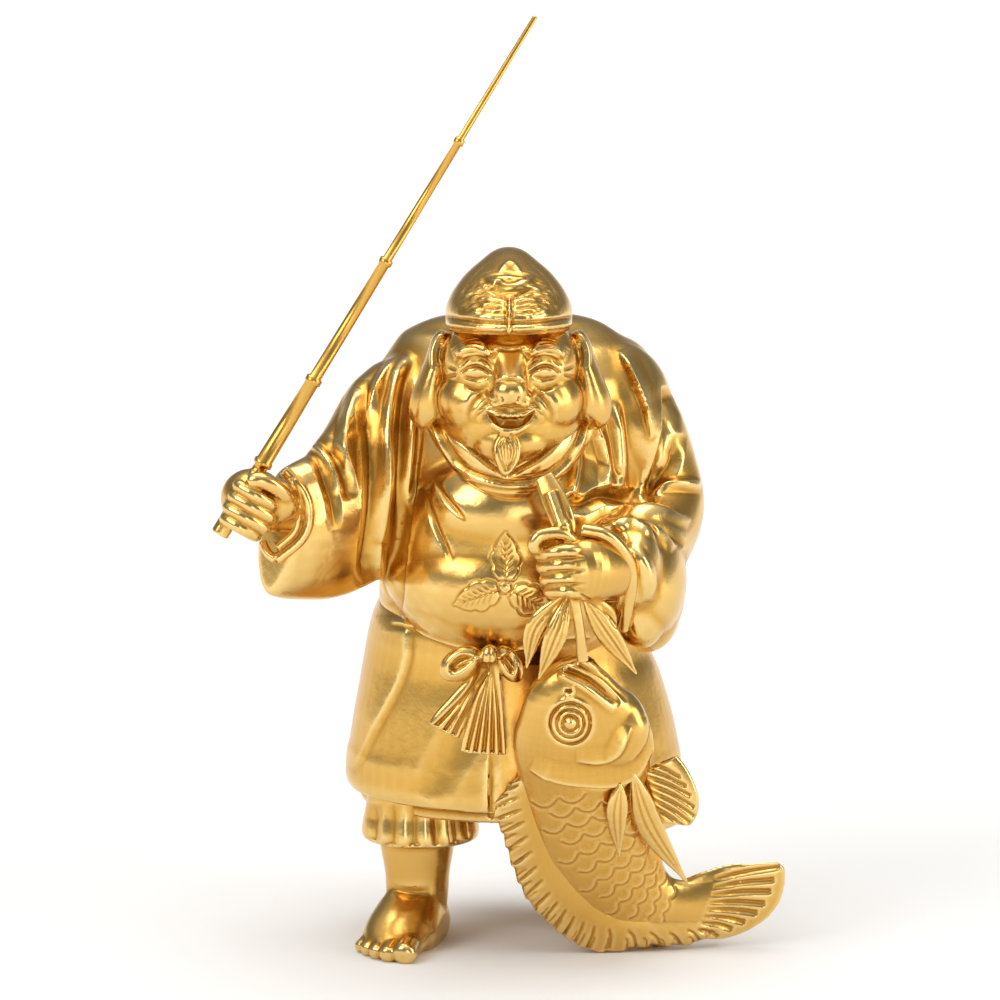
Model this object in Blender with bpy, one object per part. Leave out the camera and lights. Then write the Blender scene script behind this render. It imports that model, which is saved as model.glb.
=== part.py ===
"""Ebisu, the god of fishermen: a cast standing figure that holds a fishing rod and a sea bream.

Metres, +Z up, the figure faces -Y. The origin is on the standing plane under the middle of the whole.
Places on the figure are in figure units, 201 to its height, and are given as a viewer in front of it sees
them, who looks down on it by VIEW_TILT: u to the right of the middle line, v up the view, and the depth.
"""

import math

import bmesh
import bpy
import numpy as np
from mathutils import Euler, Matrix, Vector

# Driving sizes, in metres
FIGURE_HEIGHT = 0.201        # sole to top of the cap
ROD_LENGTH = 0.1506          # seat on the fist to tip
ROD_LOW_RADIUS = 0.0023      # just above the fist
ROD_TIP_RADIUS = 0.0007
RING_RISE = 0.0004           # how far a node's ring stands out
PLUG_RADIUS = 0.0017         # the end that sits in the fist
PLUG_LENGTH = 0.0070
PLUG_CLEARANCE = 0.00035     # all round the plug, under it and under the first ring
SEAT_CUT = 0.012             # how far over the seat the fist is cut away
FIRST_RING_TOP = 0.0024      # of the two rings at the hand, above the seat
SECOND_RING_FOOT = 0.0049
SECOND_RING_TOP = 0.0061
NODE_RING = 0.0015           # length of a ring at a node
ROD_BEVEL = 0.0004           # on the edges of the rings, the plug and the tip
NECK_SHARE = 0.86            # radius of the neck between the two rings, to the rod's
STEP_SHARE = 0.88            # radius just over a node, to that under it

UNIT = FIGURE_HEIGHT / 201
VIEW_TILT = math.radians(12)
VIEW_DOWN = math.sin(VIEW_TILT)
VIEW_LEVEL = math.cos(VIEW_TILT)
AXIS_X = Vector((1, 0, 0))
AXIS_Y = Vector((0, 1, 0))
AXIS_Z = Vector((0, 0, 1))

ROUGH_GRAIN = 0.9 * UNIT     # cell of the robe's skin before it is thinned out
FINE_GRAIN = 0.5 * UNIT      # cell of the head, hands and fish
JOIN_GRAIN = 0.7 * UNIT      # cell of the one skin over all of them
FIGURE_TRIANGLES = 8700
THINNEST = 0.25              # half of the least thickness of a form, in figure units
SOLE_SNAP = 0.35 * UNIT      # what ends this near the standing plane is put on it
SLIVERS = (0.00002, 0.00006)   # edges shorter than these are closed up, in two goes
GOLD = (0.83, 0.60, 0.22)

MIDDLE_X = -5.66            # the middle of the whole, in figure units, which becomes the origin
MIDDLE_Y = -12.17
HEAD_MIDDLE = -2.7           # u of the middle line of the face
ROD_BUTT = (-82.4, 113.9, -50)   # u, v, depth of the butt's end
ROD_AIM = (4.2, 255, -42)        # where the rod points
ROD_SEAT = 16.4              # from the butt's end to the seat on top of the fist
NODE_SHARES = (0.221, 0.477, 0.736)   # the rod's rings, as shares of its length
ROD_SIDES = 16
SOCKET_MARGIN = 1.2          # of skin around the socket that keeps its fine cells
SOCKET_ROLLS = (0, 7, 13, 4, 10)   # turns of the socket's facets in degrees; the first that cuts cleanly is used


# Building forms

def place(x, y, z):
    """A place by its figure units to the viewer's right, behind the middle line and above the ground."""
    return Vector((x - MIDDLE_X, y - MIDDLE_Y, z)) * UNIT


def spot(u, v, depth):
    """The place that a viewer sees at u, v, that far behind the front plane."""
    return place(u, depth, (v - depth * VIEW_DOWN) / VIEW_LEVEL)


def ball(bm, centre, radii, turn=(0, 0, 0), rings=4):
    """An ellipsoid with its half width, half height and half depth in figure units, turned by degrees."""
    wide, tall, deep = radii
    size = Matrix.Diagonal(Vector((wide, deep, tall)) * UNIT).to_4x4()
    spin = Euler([math.radians(a) for a in turn]).to_matrix().to_4x4()
    bmesh.ops.create_icosphere(bm, subdivisions=rings, radius=1,
                               matrix=Matrix.Translation(centre) @ spin @ size)


def tube(bm, stations, up=AXIS_Z, along=None, sides=28, steps=4):
    """A smooth skin over ellipses, each a centre, the half size along up, and the half size across it."""
    table = smooth_line([(*centre, tall, wide) for centre, tall, wide in stations], steps)
    centres = [Vector(row[:3]) for row in table]
    rings = []
    for i, (centre, row) in enumerate(zip(centres, table)):
        ahead = along or centres[min(i + 1, len(centres) - 1)] - centres[max(i - 1, 0)]
        forward = ahead.normalized()
        first = (up - forward * up.dot(forward)).normalized()
        second = forward.cross(first)
        tall, wide = max(row[3], THINNEST), max(row[4], THINNEST)
        frame = Matrix((first * tall * UNIT, second * wide * UNIT, forward)).transposed().to_4x4()
        frame.translation = centre
        made = bmesh.ops.create_circle(bm, segments=sides, radius=1, matrix=frame)
        rings.append(list(dict.fromkeys(edge for vert in made["verts"] for edge in vert.link_edges)))
    for low, high in zip(rings, rings[1:]):
        bmesh.ops.bridge_loops(bm, edges=low + high)
    for ring in (rings[0], rings[-1]):
        bmesh.ops.edgeloop_fill(bm, edges=ring)


def smooth_line(points, steps=6):
    """A smooth line through a few points."""
    p = np.array(points, float)
    p = np.vstack((2 * p[0] - p[1], p, 2 * p[-1] - p[-2]))
    t = np.linspace(0, 1, steps, endpoint=False)[:, None]
    parts = []
    for a, b, c, d in zip(p, p[1:], p[2:], p[3:]):
        parts.append(b + (c - a) * t / 2 + (a - 2.5 * b + 2 * c - d / 2) * t ** 2
                     + (1.5 * b - a / 2 - 1.5 * c + d / 2) * t ** 3)
    return np.vstack(parts + [p[-2:-1]])


def finger(bm, points, radius):
    """A finger or toe through a few places, with a round tip."""
    path = [spot(*p) for p in smooth_line(points, 4)]
    last = len(path) - 1
    stations = []
    for i, centre in enumerate(path):
        t = i / last
        ends = min(1, math.sqrt(max(0.02, 1 - (2 * t - 1) ** 6)))
        stations.append((centre, radius * ends, radius * ends))
    tube(bm, stations, sides=16, steps=1)


def leaf(bm, points, half_width, thickness=0.9, blunt=0.8):
    """A long flat leaf through a few places, widest before its middle."""
    path = [spot(*p) for p in smooth_line(points, 5)]
    last = len(path) - 1
    stations = []
    for i, centre in enumerate(path):
        swell = max(0.12, math.sin(math.pi * (i / last) ** blunt))
        stations.append((centre, max(0.45, thickness * swell ** 0.5), half_width * swell))
    tube(bm, stations, up=AXIS_Y, sides=20, steps=1)


# Carving the skins

def carve(mesh, strokes, turn=0):
    """Pushes the skin out and in along strokes drawn on it by a viewer who stands that many degrees round.

    Each stroke is a kind, its points as u, v, a half width, a height,
    and the shares of its length over which
    it starts and ends. A fold has a round back, a crease a sharp one,
    and a lap stands up to the left of its
    line and fades away from it. A pad raises all that its closed line holds.
    """
    count = len(mesh.vertices)
    places = np.empty(count * 3)
    mesh.vertices.foreach_get("co", places)
    places = places.reshape(-1, 3)
    normals = np.empty(count * 3)
    mesh.vertex_normals.foreach_get("vector", normals)
    normals = normals.reshape(-1, 3)
    spin = np.array(Matrix.Rotation(-math.radians(turn), 3, "Z"))
    seen = (places / UNIT + (MIDDLE_X, MIDDLE_Y, 0)) @ spin.T
    facing = normals @ spin.T
    u = seen[:, 0]
    v = seen[:, 2] * VIEW_LEVEL + seen[:, 1] * VIEW_DOWN
    toward = np.clip((facing[:, 2] * VIEW_DOWN - facing[:, 1] * VIEW_LEVEL) * 3, 0, 1)
    push = np.zeros(count)
    for kind, points, width, height, *ends in strokes:
        line = smooth_line(points if kind != "pad" else list(points) + [points[0]])
        near = np.flatnonzero((u > line[:, 0].min() - width) & (u < line[:, 0].max() + width)
                              & (v > line[:, 1].min() - width) & (v < line[:,
                                                                           1].max() + width) & (toward > 0))
        if not len(near):
            continue
        at = np.stack((u[near], v[near]), 1)
        away, share, left, inside = stroke_distance(at, line)
        s = away / width
        if kind == "fold":
            rise = np.clip(1 - s * s, 0, 1) ** 2
        elif kind == "crease":
            rise = np.clip(1 - s, 0, 1) ** 1.2
        elif kind == "lap":
            rise = np.where(left, np.clip(1 - s, 0, 1) ** 1.5, np.clip(1 - s * 7, 0, 1))
        else:
            rise = np.where(inside, np.clip(s, 0, 1), 0)
        if kind != "pad":
            start, end = ends or (0.3, 0.3)
            rise *= np.clip(share / max(start, 1e-6), 0, 1) ** 0.8 * np.clip((1 - share) / max(end, 1e-6),
                                                                             0, 1) ** 0.8
        push[near] += rise * height
    places += normals * (push * toward * UNIT)[:, None]
    mesh.vertices.foreach_set("co", places.ravel())
    mesh.update()


def stroke_distance(at, line):
    """For each point: its distance from the line, the share along it, if it is on the left, and if inside."""
    starts = line[:-1]
    steps = np.diff(line, axis=0)
    lengths = np.maximum(np.hypot(steps[:, 0], steps[:, 1]), 1e-9)
    before = np.concatenate(([0], np.cumsum(lengths)))
    best = np.full(len(at), np.inf)
    share = np.zeros(len(at))
    left = np.zeros(len(at), bool)
    crossings = np.zeros(len(at), int)
    for i, (start, step, length) in enumerate(zip(starts, steps, lengths)):
        gap = at - start
        t = np.clip(gap @ step / length ** 2, 0, 1)
        off = gap - t[:, None] * step
        away = np.hypot(off[:, 0], off[:, 1])
        closer = away < best
        best[closer] = away[closer]
        share[closer] = ((before[i] + t * length) / before[-1])[closer]
        left[closer] = (step[0] * gap[:, 1] - step[1] * gap[:, 0] > 0)[closer]
        end = start + step
        spans = (start[1] > at[:, 1]) != (end[1] > at[:, 1])
        across = start[0] + (at[:, 1] - start[1]) * step[0] / (step[1] if abs(step[1]) > 1e-9 else 1e-9)
        crossings += spans & (at[:, 0] < across)
    return best, share, left, crossings % 2 == 1


def evaluated(obj):
    """The object's mesh with its modifiers applied; the object itself is removed."""
    bpy.context.view_layer.update()
    mesh = bpy.data.meshes.new_from_object(obj.evaluated_get(bpy.context.evaluated_depsgraph_get()))
    bpy.data.objects.remove(obj)
    return mesh


def placed(name, mesh):
    obj = bpy.data.objects.new(name, mesh)
    bpy.context.scene.collection.objects.link(obj)
    return obj


def lump_of(bm, name):
    bmesh.ops.recalc_face_normals(bm, faces=bm.faces)
    if bm.calc_volume(signed=True) < 0:
        bmesh.ops.reverse_faces(bm, faces=bm.faces)
    mesh = bpy.data.meshes.new(name)
    bm.to_mesh(mesh)
    bm.free()
    return placed(name, mesh)


def skinned(bm, grain, rounding, hollows=None):
    """One closed mesh over all the overlapping forms, with its joins rounded and the hollows cut out."""
    lump = lump_of(bm, "forms")
    skin = lump.modifiers.new("skin", "REMESH")
    skin.mode = "VOXEL"
    skin.voxel_size = grain
    cutter = None
    if hollows is not None:
        cutter = lump_of(hollows, "hollows")
        cutter.hide_render = True
        cutter.display_type = "WIRE"
        cut = lump.modifiers.new("hollows", "BOOLEAN")
        cut.operation = "DIFFERENCE"
        cut.solver = "EXACT"
        cut.object = cutter
        again = lump.modifiers.new("skin again", "REMESH")
        again.mode = "VOXEL"
        again.voxel_size = grain
    smooth = lump.modifiers.new("rounding", "SMOOTH")
    smooth.factor = 0.5
    smooth.iterations = rounding
    mesh = evaluated(lump)
    if cutter is not None:
        bpy.data.objects.remove(cutter)
    return mesh


def ring_line(u, v, radius, tall=1.0, count=16):
    """The points of a round or oval line."""
    turns = [2 * math.pi * i / count for i in range(count + 1)]
    return tuple((u + radius * math.cos(a), v + tall * radius * math.sin(a)) for a in turns)


# The robe

def robe_forms():
    """The body of the robe with its two sleeves."""
    bm = bmesh.new()
    rows = ((92, -2, 1, 34, 28.6), (95, -2, 1, 37.4, 31.6), (103, -2, 1, 37.6, 31.6),
            (114, -2, 2, 39, 32.6),
            (127, -2, 4, 41.4, 34), (140, -2, 6, 42.6, 34), (151, -1.6, 7, 42, 32.4), (160.6, -2, 8, 39.8,
                                                                                       28),
            (168, -2.4, 8.6, 34, 22), (172.6, -2.4, 9, 28, 15.6), (175.6, -2.4, 9, 20, 9), (177, -2.4, 9,
                                                                                            8, 4))
    tube(bm, [(place(x, y, z), wide, deep) for z, x, y, wide, deep in rows], up=AXIS_X, sides=64)
    ball(bm, spot(-24, 148, 4), (18, 20, 18))
    ball(bm, spot(24, 148, 2), (19, 20, 18))
    ball(bm, spot(-1, 110, -8), (37, 40, 33.5))
    ball(bm, spot(-3, 99, -12), (36, 18, 32.5))
    ball(bm, spot(-2, 121, -20), (27, 18, 22))
    right_sleeve(bm)
    left_sleeve(bm)
    return bm


def skirt_forms():
    bm = bmesh.new()
    skirt(bm)
    return bm


def skirt(bm):
    """The skirt of the robe, a little wider at the hem, with the hem of the lining under it."""
    rows = ((112, -4, 2, 24, 20), (96, -4, 2, 36, 31), (80, -3.75, 3, 40.5, 33), (69, -3, 3, 43.6, 34.5),
            (57.5, -2.2, 3, 46.1, 36),
            (51.7, -2, 3, 47.2, 36.5), (45.6, -1.7, 3, 47.5, 37), (42, -1.7, 3, 46.5, 36.5))
    tube(bm, [(place(x, y, z), wide, deep) for z, x, y, wide, deep in rows], up=AXIS_X, sides=64)
    rows = ((60, -1.7, 3, 44, 33), (40.5, -1.7, 3, 43.5, 33.5), (38.5, -1.7, 3, 41.5, 32))
    tube(bm, [(place(x, y, z), wide, deep) for z, x, y, wide, deep in rows], up=AXIS_X, sides=64)


def right_sleeve(bm):
    """The sleeve on the viewer's left, with the bag under the forearm and a mouth around the wrist."""
    tube(bm, [(spot(-18, 141, 4), 25, 18), (spot(-30, 137, -1), 27, 18), (spot(-38, 129, -8), 26, 16),
              (spot(-45, 122, -16), 24.4, 13.6), (spot(-53, 116, -25), 22, 11.6),
              (spot(-60.5, 113.8, -32), 20, 10.6), (spot(-65.6, 112.8, -37), 18.4,
                                                    9), (spot(-68, 112.8, -39.5), 16.6, 6)])


def left_sleeve(bm):
    """The sleeve on the viewer's right: upper arm, elbow, forearm and the bag that hangs from it."""
    tube(bm, [(spot(22, 150, 2), 17, 17), (spot(30.5, 142, 1), 15.6, 17), (spot(35.4, 131, 0), 14.5, 14),
              (spot(38, 121, -4), 14, 12.5), (spot(36.5, 113, -14), 13, 12.5), (spot(33, 108, -27), 12.5,
                                                                                12.5),
              (spot(27.5, 105.5, -39), 11.5, 12), (spot(24, 105, -45), 10.5, 11)], up=AXIS_X)
    ball(bm, spot(36.5, 99, -22), (10, 18, 15))
    ball(bm, spot(35.5, 92, -26), (9.5, 12.5, 11))


def sleeve_hollows():
    """The open mouths of the two sleeves."""
    bm = bmesh.new()
    ball(bm, spot(-71, 119, -43), (12.5, 12.5, 11), turn=(0, 20, 0))
    ball(bm, spot(22, 103, -52), (12.5, 10.5, 13))
    return bm


ROBE_STROKES = (
    # The viewer's left: the crease between sleeve and body, and the folds from the shoulder
    ("crease", ((-43, 156), (-42.8, 146.7), (-40.8, 134), (-40.8, 119), (-42.5, 105), (-43.6, 100)), 3.2,
     -3.4, 0.1, 0),
    ("crease", ((-33.6, 163), (-38, 156.5), (-42, 149), (-42.6, 143)), 2.6, 2.2),
    ("fold", ((-30, 163.5), (-35, 154.7), (-36.9, 142), (-37, 130), (-38, 119), (-38.3, 110)), 2.6, 2.6,
     0.15, 0.3),
    ("crease", ((-31.5, 160), (-32.8, 145.6), (-33.4, 125), (-35, 108)), 2.4, -2.4),
    ("fold", ((-28.5, 157), (-30, 145), (-30.6, 132), (-31.5, 118)), 2, 1.6),
    ("crease", ((-45, 154), (-48.3, 141), (-48.8, 133), (-47.3, 124)), 3.4, 2.6),
    ("crease", ((-57, 139), (-53, 136.5), (-48.8, 133)), 2.4, 2.2, 0.5, 0.1),
    ("crease", ((-55, 134.5), (-51, 129.5), (-48, 124)), 2.6, -2.8),
    ("crease", ((-61, 135), (-57, 131), (-53, 125.6), (-49.6, 113)), 3.2, 2.6, 0.4, 0.4),
    ("fold", ((-60, 128), (-56, 120), (-52.5, 110)), 2.6, -1.6),
    ("fold", ((-38.5, 108), (-39.4, 101), (-36, 93)), 2.2, 2),
    # The front panel: its edge, the folds under the collar, and its lower edge over the skirt
    ("lap", ((-33, 92), (-32.2, 108.6), (-29.7, 124.4), (-27.2, 142.5)), 6, -1.8, 0, 0.2),
    ("crease", ((-26.7, 127), (-24.2, 117), (-18.6, 105)), 2, -1.6),
    ("crease", ((-25.3, 133), (-21.8, 124.4), (-15, 116.4)), 2, -1.6),
    ("lap", ((-36, 88), (-31, 87.3), (-20.3, 83.3), (-11.7, 81.2), (0, 81.4), (10, 84), (20, 84)), 5, 2,
     0.05, 0.2),
    # The viewer's right: the shoulder, the armpit and the elbow
    ("lap", ((27.5, 164), (33.9, 149.4), (36.7, 139)), 5, 2.6, 0.2, 0.3),
    ("lap", ((40.4, 154), (40.4, 142.2), (37.5, 131), (33.9, 124)), 5, -2.8, 0.1, 0.1),
    ("crease", ((44.4, 141), (42.5, 132), (35.6, 125)), 2.8, -2.2),
    ("fold", ((26, 150), (27.5, 138), (28, 124)), 2.6, 2.2),
    ("crease", ((20.5, 146), (23.5, 135), (24.5, 124)), 2.4, 2),
    ("fold", ((16, 139), (15.5, 129), (12.6, 120)), 2.2, 1.5),
    ("crease", ((11, 122), (18, 121), (23.5, 123.6), (33, 122.6), (38, 124)), 3, -3, 0.1, 0.1),
    ("fold", ((51, 126), (44, 126.5), (36, 125.3)), 2.4, 2.2),
    ("fold", ((23, 119.8), (31, 120.4), (40, 118.6), (47.5, 115.6)), 2.4, 2),
    ("crease", ((25, 118), (33, 117), (41, 113.5), (45.6, 109)), 2, -1.8),
    ("fold", ((22, 114.5), (30, 116), (37, 113.8), (43, 108.5)), 2.6, 2.2),
    ("fold", ((30, 110), (35, 103), (36, 94)), 3, 1.4),
    # The skirt: the ridge down its side, the shallow hollow beside it, and the slit at the front
    ("lap", ((-47, 46), (-40.6, 58.3), (-32.8, 73.9), (-31.4, 83.3)), 11, 1.1, 0.3, 0),
    ("lap", ((-8.4, 51.5), (-8.6, 42), (-8.4, 33)), 2.4, -1, 0.4, 0),
    ("fold", ((-26, 38), (-20, 50), (-12, 62)), 7, -0.8),
)

BACK_STROKES = (
    ("lap", ((-28, 42), (-20, 68), (-17, 90)), 9, 2, 0.1, 0.4),
    ("lap", ((17, 90), (23, 68), (30, 42)), 9, 2, 0.4, 0.1),
    ("fold", ((0, 42), (1, 66), (0, 88)), 6, 1.6, 0.1, 0.4),
    ("fold", ((36, 150), (20, 143), (0, 140), (-20, 143), (-36, 150)), 5, 1.8, 0.3, 0.3),
    ("crease", ((38, 138), (22, 130), (2, 127), (-18, 130), (-36, 138)), 5, -2, 0.3, 0.3),
    ("fold", ((34, 122), (18, 115), (0, 113), (-18, 115), (-34, 122)), 5, 1.6, 0.3, 0.3),
    ("fold", ((-26, 100), (-22, 120), (-26, 146)), 4, 1.4, 0.2, 0.4),
    ("fold", ((28, 100), (24, 120), (28, 146)), 4, 1.4, 0.2, 0.4),
)


def collar_forms():
    """The cloth around the neck, a bowl from the chest up to the chin."""
    bm = bmesh.new()
    rows = ((122.4, 6, -43.6), (124.4, 11.4, -46), (127, 15.6, -48), (131, 19.4, -49), (136, 22.6, -48),
            (141, 24.6, -45),
            (145.4, 25.4, -41), (149, 24, -37))
    stations = []
    for v, wide, front in rows:
        deep = min(wide, 19)
        z = (v - front * VIEW_DOWN) / VIEW_LEVEL
        stations.append((place(HEAD_MIDDLE + 0.4, front + deep, z), wide, deep))
    tube(bm, stations, up=AXIS_X, along=AXIS_Z, sides=56)
    return bm


def collar_strokes():
    """The round band of the outer robe, and the nested collars that cross under the beard."""
    strokes = [
        ("lap", ((-24.6, 144), (-20.9, 135.8), (-15.8, 130.1), (-4.4, 126.4), (6, 127.2), (12.6, 131.4),
                 (16.4, 137),
                 (18.6, 144)), 3, -2, 0, 0),
        ("crease", ((-25.4, 143), (-22, 134.4), (-16.6, 128.2), (-5, 124.8), (7, 125.6), (13.8, 129.6),
                    (17.8, 136),
                    (19.8, 143)), 0.7, -0.9, 0, 0),
    ]
    for i in range(3):
        lift = 2.3 * i
        strokes.append(("lap", ((-22.4 + i, 144.6 + lift), (-13.4, 135.9 + lift), (-4.2, 127.9 + lift)),
                        2.2, -2, 0, 0.05))
        strokes.append(("lap", ((-4.2, 127.9 + lift), (6.4, 134.4 + lift), (16 - i, 144.6 + lift)), 2.2,
                        -2, 0.05, 0))
    return tuple(strokes)


# The legs

def leg_forms():
    bm = bmesh.new()
    for x, y in ((-28, -9), (29, 8)):
        rows = ((46, 15, 14), (39, 15.4, 14.4), (34, 16.4, 15.4), (31, 16.6, 15.6), (29.8, 15.4, 14.6),
                (29.4, 12, 12))
        tube(bm, [(place(x, y, z), wide, deep) for z, wide, deep in rows], up=AXIS_X, sides=40)
        rows = ((34, 11, 11), (28, 10.6, 10.4), (20, 9.2, 9.4), (14, 8.8, 9.4), (7, 8, 9), (-4, 6, 7))
        tube(bm, [(place(x - 0.9, y + 1, z), wide, deep) for z, wide, deep in rows], up=AXIS_X)
    foot(bm, (-29, -7), 17)
    foot(bm, (28.5, 9), -24)
    return bm


TOES = ((5.6, 31, 3.4), (0.4, 30.4, 2.5), (-3.6, 28.4, 2.3), (-7.2, 25.6, 2.1),
        (-10.2, 22.4, 1.9))   # across, ahead, size
TOE_LINE = ((0, 0.1), (0.3, 0.35), (0.55, 0.3), (0.8, 0.12), (0.93, 0.04), (1, 0))   # along, lift
TOE_WIDTHS = (0.7, 0.86, 0.9, 1.02, 0.84, 0.42)


def foot(bm, ankle, outward):
    """A bare foot whose toes point to the front, turned outward by degrees to the viewer's left."""
    side = 1 if outward > 0 else -1
    spin = Matrix.Rotation(math.radians(-outward), 3, "Z")

    def at(across, ahead, up):
        turned = spin @ Vector((across * side, -ahead, up))
        return place(ankle[0] + turned.x, ankle[1] + turned.y, up)

    tube(bm, [(at(0, -9, 1), 5, 5), (at(0, -6, 3), 8, 8.5), (at(0, 3, 5), 9.4, 10.5),
              (at(-0.5, 11, 4.4), 10.4, 8.2),
              (at(-0.6, 17, 3.4), 9.8, 6), (at(1, 22, 2.4), 7.6, 4.2), (at(2.6, 25.4, 1.8), 5,
                                                                        3)], up=spin @ AXIS_X)
    for across, ahead, size in TOES:
        base = at(across * 0.9, ahead - 3.2 * size, 2.8)
        tip = at(across, ahead, size * 0.6)
        path = [base.lerp(tip, t) + Vector((0, 0, lift * size * UNIT)) for t, lift in TOE_LINE]
        tube(bm, [(centre, size * wide, size * wide) for centre, wide in zip(path, TOE_WIDTHS)], sides=20)


CUFF_STROKES = tuple(("crease", ((u, 37), (u + 0.4 * (u + 29) / 12, 31), (u + 1.1 * (u + 29) / 12, 25)),
                      2.1, depth, 0.3, 0)
                     for u, depth in ((-41, -1.6), (-37, -1.4), (-33, -1.8), (-29.4, -1.3), (-25.4, -1.8),
                                      (-21, -1.5), (-17, -1.6)))
LEG_STROKES = CUFF_STROKES + (
    ("crease", ((-36, 12.4), (-30.6, 11.6), (-25, 12.2)), 2, -0.8),
)


# The head

def head_forms():
    """The laughing head: skull, full cheeks, brows, nose, lips, moustache, chin and beard."""
    m = HEAD_MIDDLE
    bm = bmesh.new()
    ball(bm, spot(m, 158, -30), (19.4, 20, 20.6))
    ball(bm, spot(m, 146.6, -31.5), (20.6, 15, 20))
    ball(bm, spot(m, 139, -44), (9.4, 6.6, 8.6))
    for side in (-1, 1):
        ball(bm, spot(m + side * 9.6, 150, -39.4), (10.6, 9.8, 10.2))
        ball(bm, spot(m + side * 8, 163.8, -44.6), (7.4, 2.8, 5), turn=(0, side * 10, 0))
        ball(bm, spot(m + side * 9, 158.2, -45), (5.4, 3, 4.2))
        ball(bm, spot(m + side * 4.5, 151.6, -51.4), (2.6, 2.2, 2.9))
        ear(bm, side)
    ball(bm, spot(m, 147, -47.4), (7.6, 3.4, 4.4))
    finger(bm, ((m - 6.2, 144.4, -49), (m, 141, -52), (m + 6.2, 144.4, -49)), 1.3)
    ball(bm, spot(m, 152.6, -53), (4.2, 3.4, 3.9))
    tube(bm, [(spot(m, 166, -47), 2, 3.4), (spot(m, 159, -49.8), 2.4, 3.2), (spot(m, 154, -52.6), 3, 3.7)],
         up=AXIS_Y)
    beard = ((140.6, 1.6, 1.8), (137.6, 2.4, 3.4), (134.6, 2.6, 3.8), (131.6, 2.2, 2.8), (129, 1.1, 1))
    tube(bm, [(spot(m - 1, v, -52), deep, wide) for v, deep, wide in beard], up=AXIS_Y)
    return bm


def ear(bm, side):
    """An ear with the long lobe of a lucky god."""
    rows = ((19.2, 169.4, -32, 1.2, 1.8), (20.2, 165.5, -33, 2.2, 3.8), (21.6, 160, -34, 2.8, 4.8),
            (22.9, 155, -35.4, 3.6, 5.2), (23.8, 150.6, -36.6, 4.3, 5.2), (23.8, 147, -37, 4.2, 4.8),
            (23.5, 144.6, -37, 3.2, 3.6), (23.2, 143, -37, 1.4, 1.6))
    tube(bm, [(spot(HEAD_MIDDLE + side * out, v, y), wide, deep) for out, v, y, wide, deep in rows],
         up=AXIS_X)


def mirrored(strokes):
    """The strokes and their mirror images across the middle line of the face."""
    turned = []
    for kind, points, *rest in strokes:
        points = [(2 * HEAD_MIDDLE - u, v) for u, v in points]
        turned.append((kind, tuple(points[::-1]) if kind == "lap" else tuple(points), *rest))
    return tuple(strokes) + tuple(turned)


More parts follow.
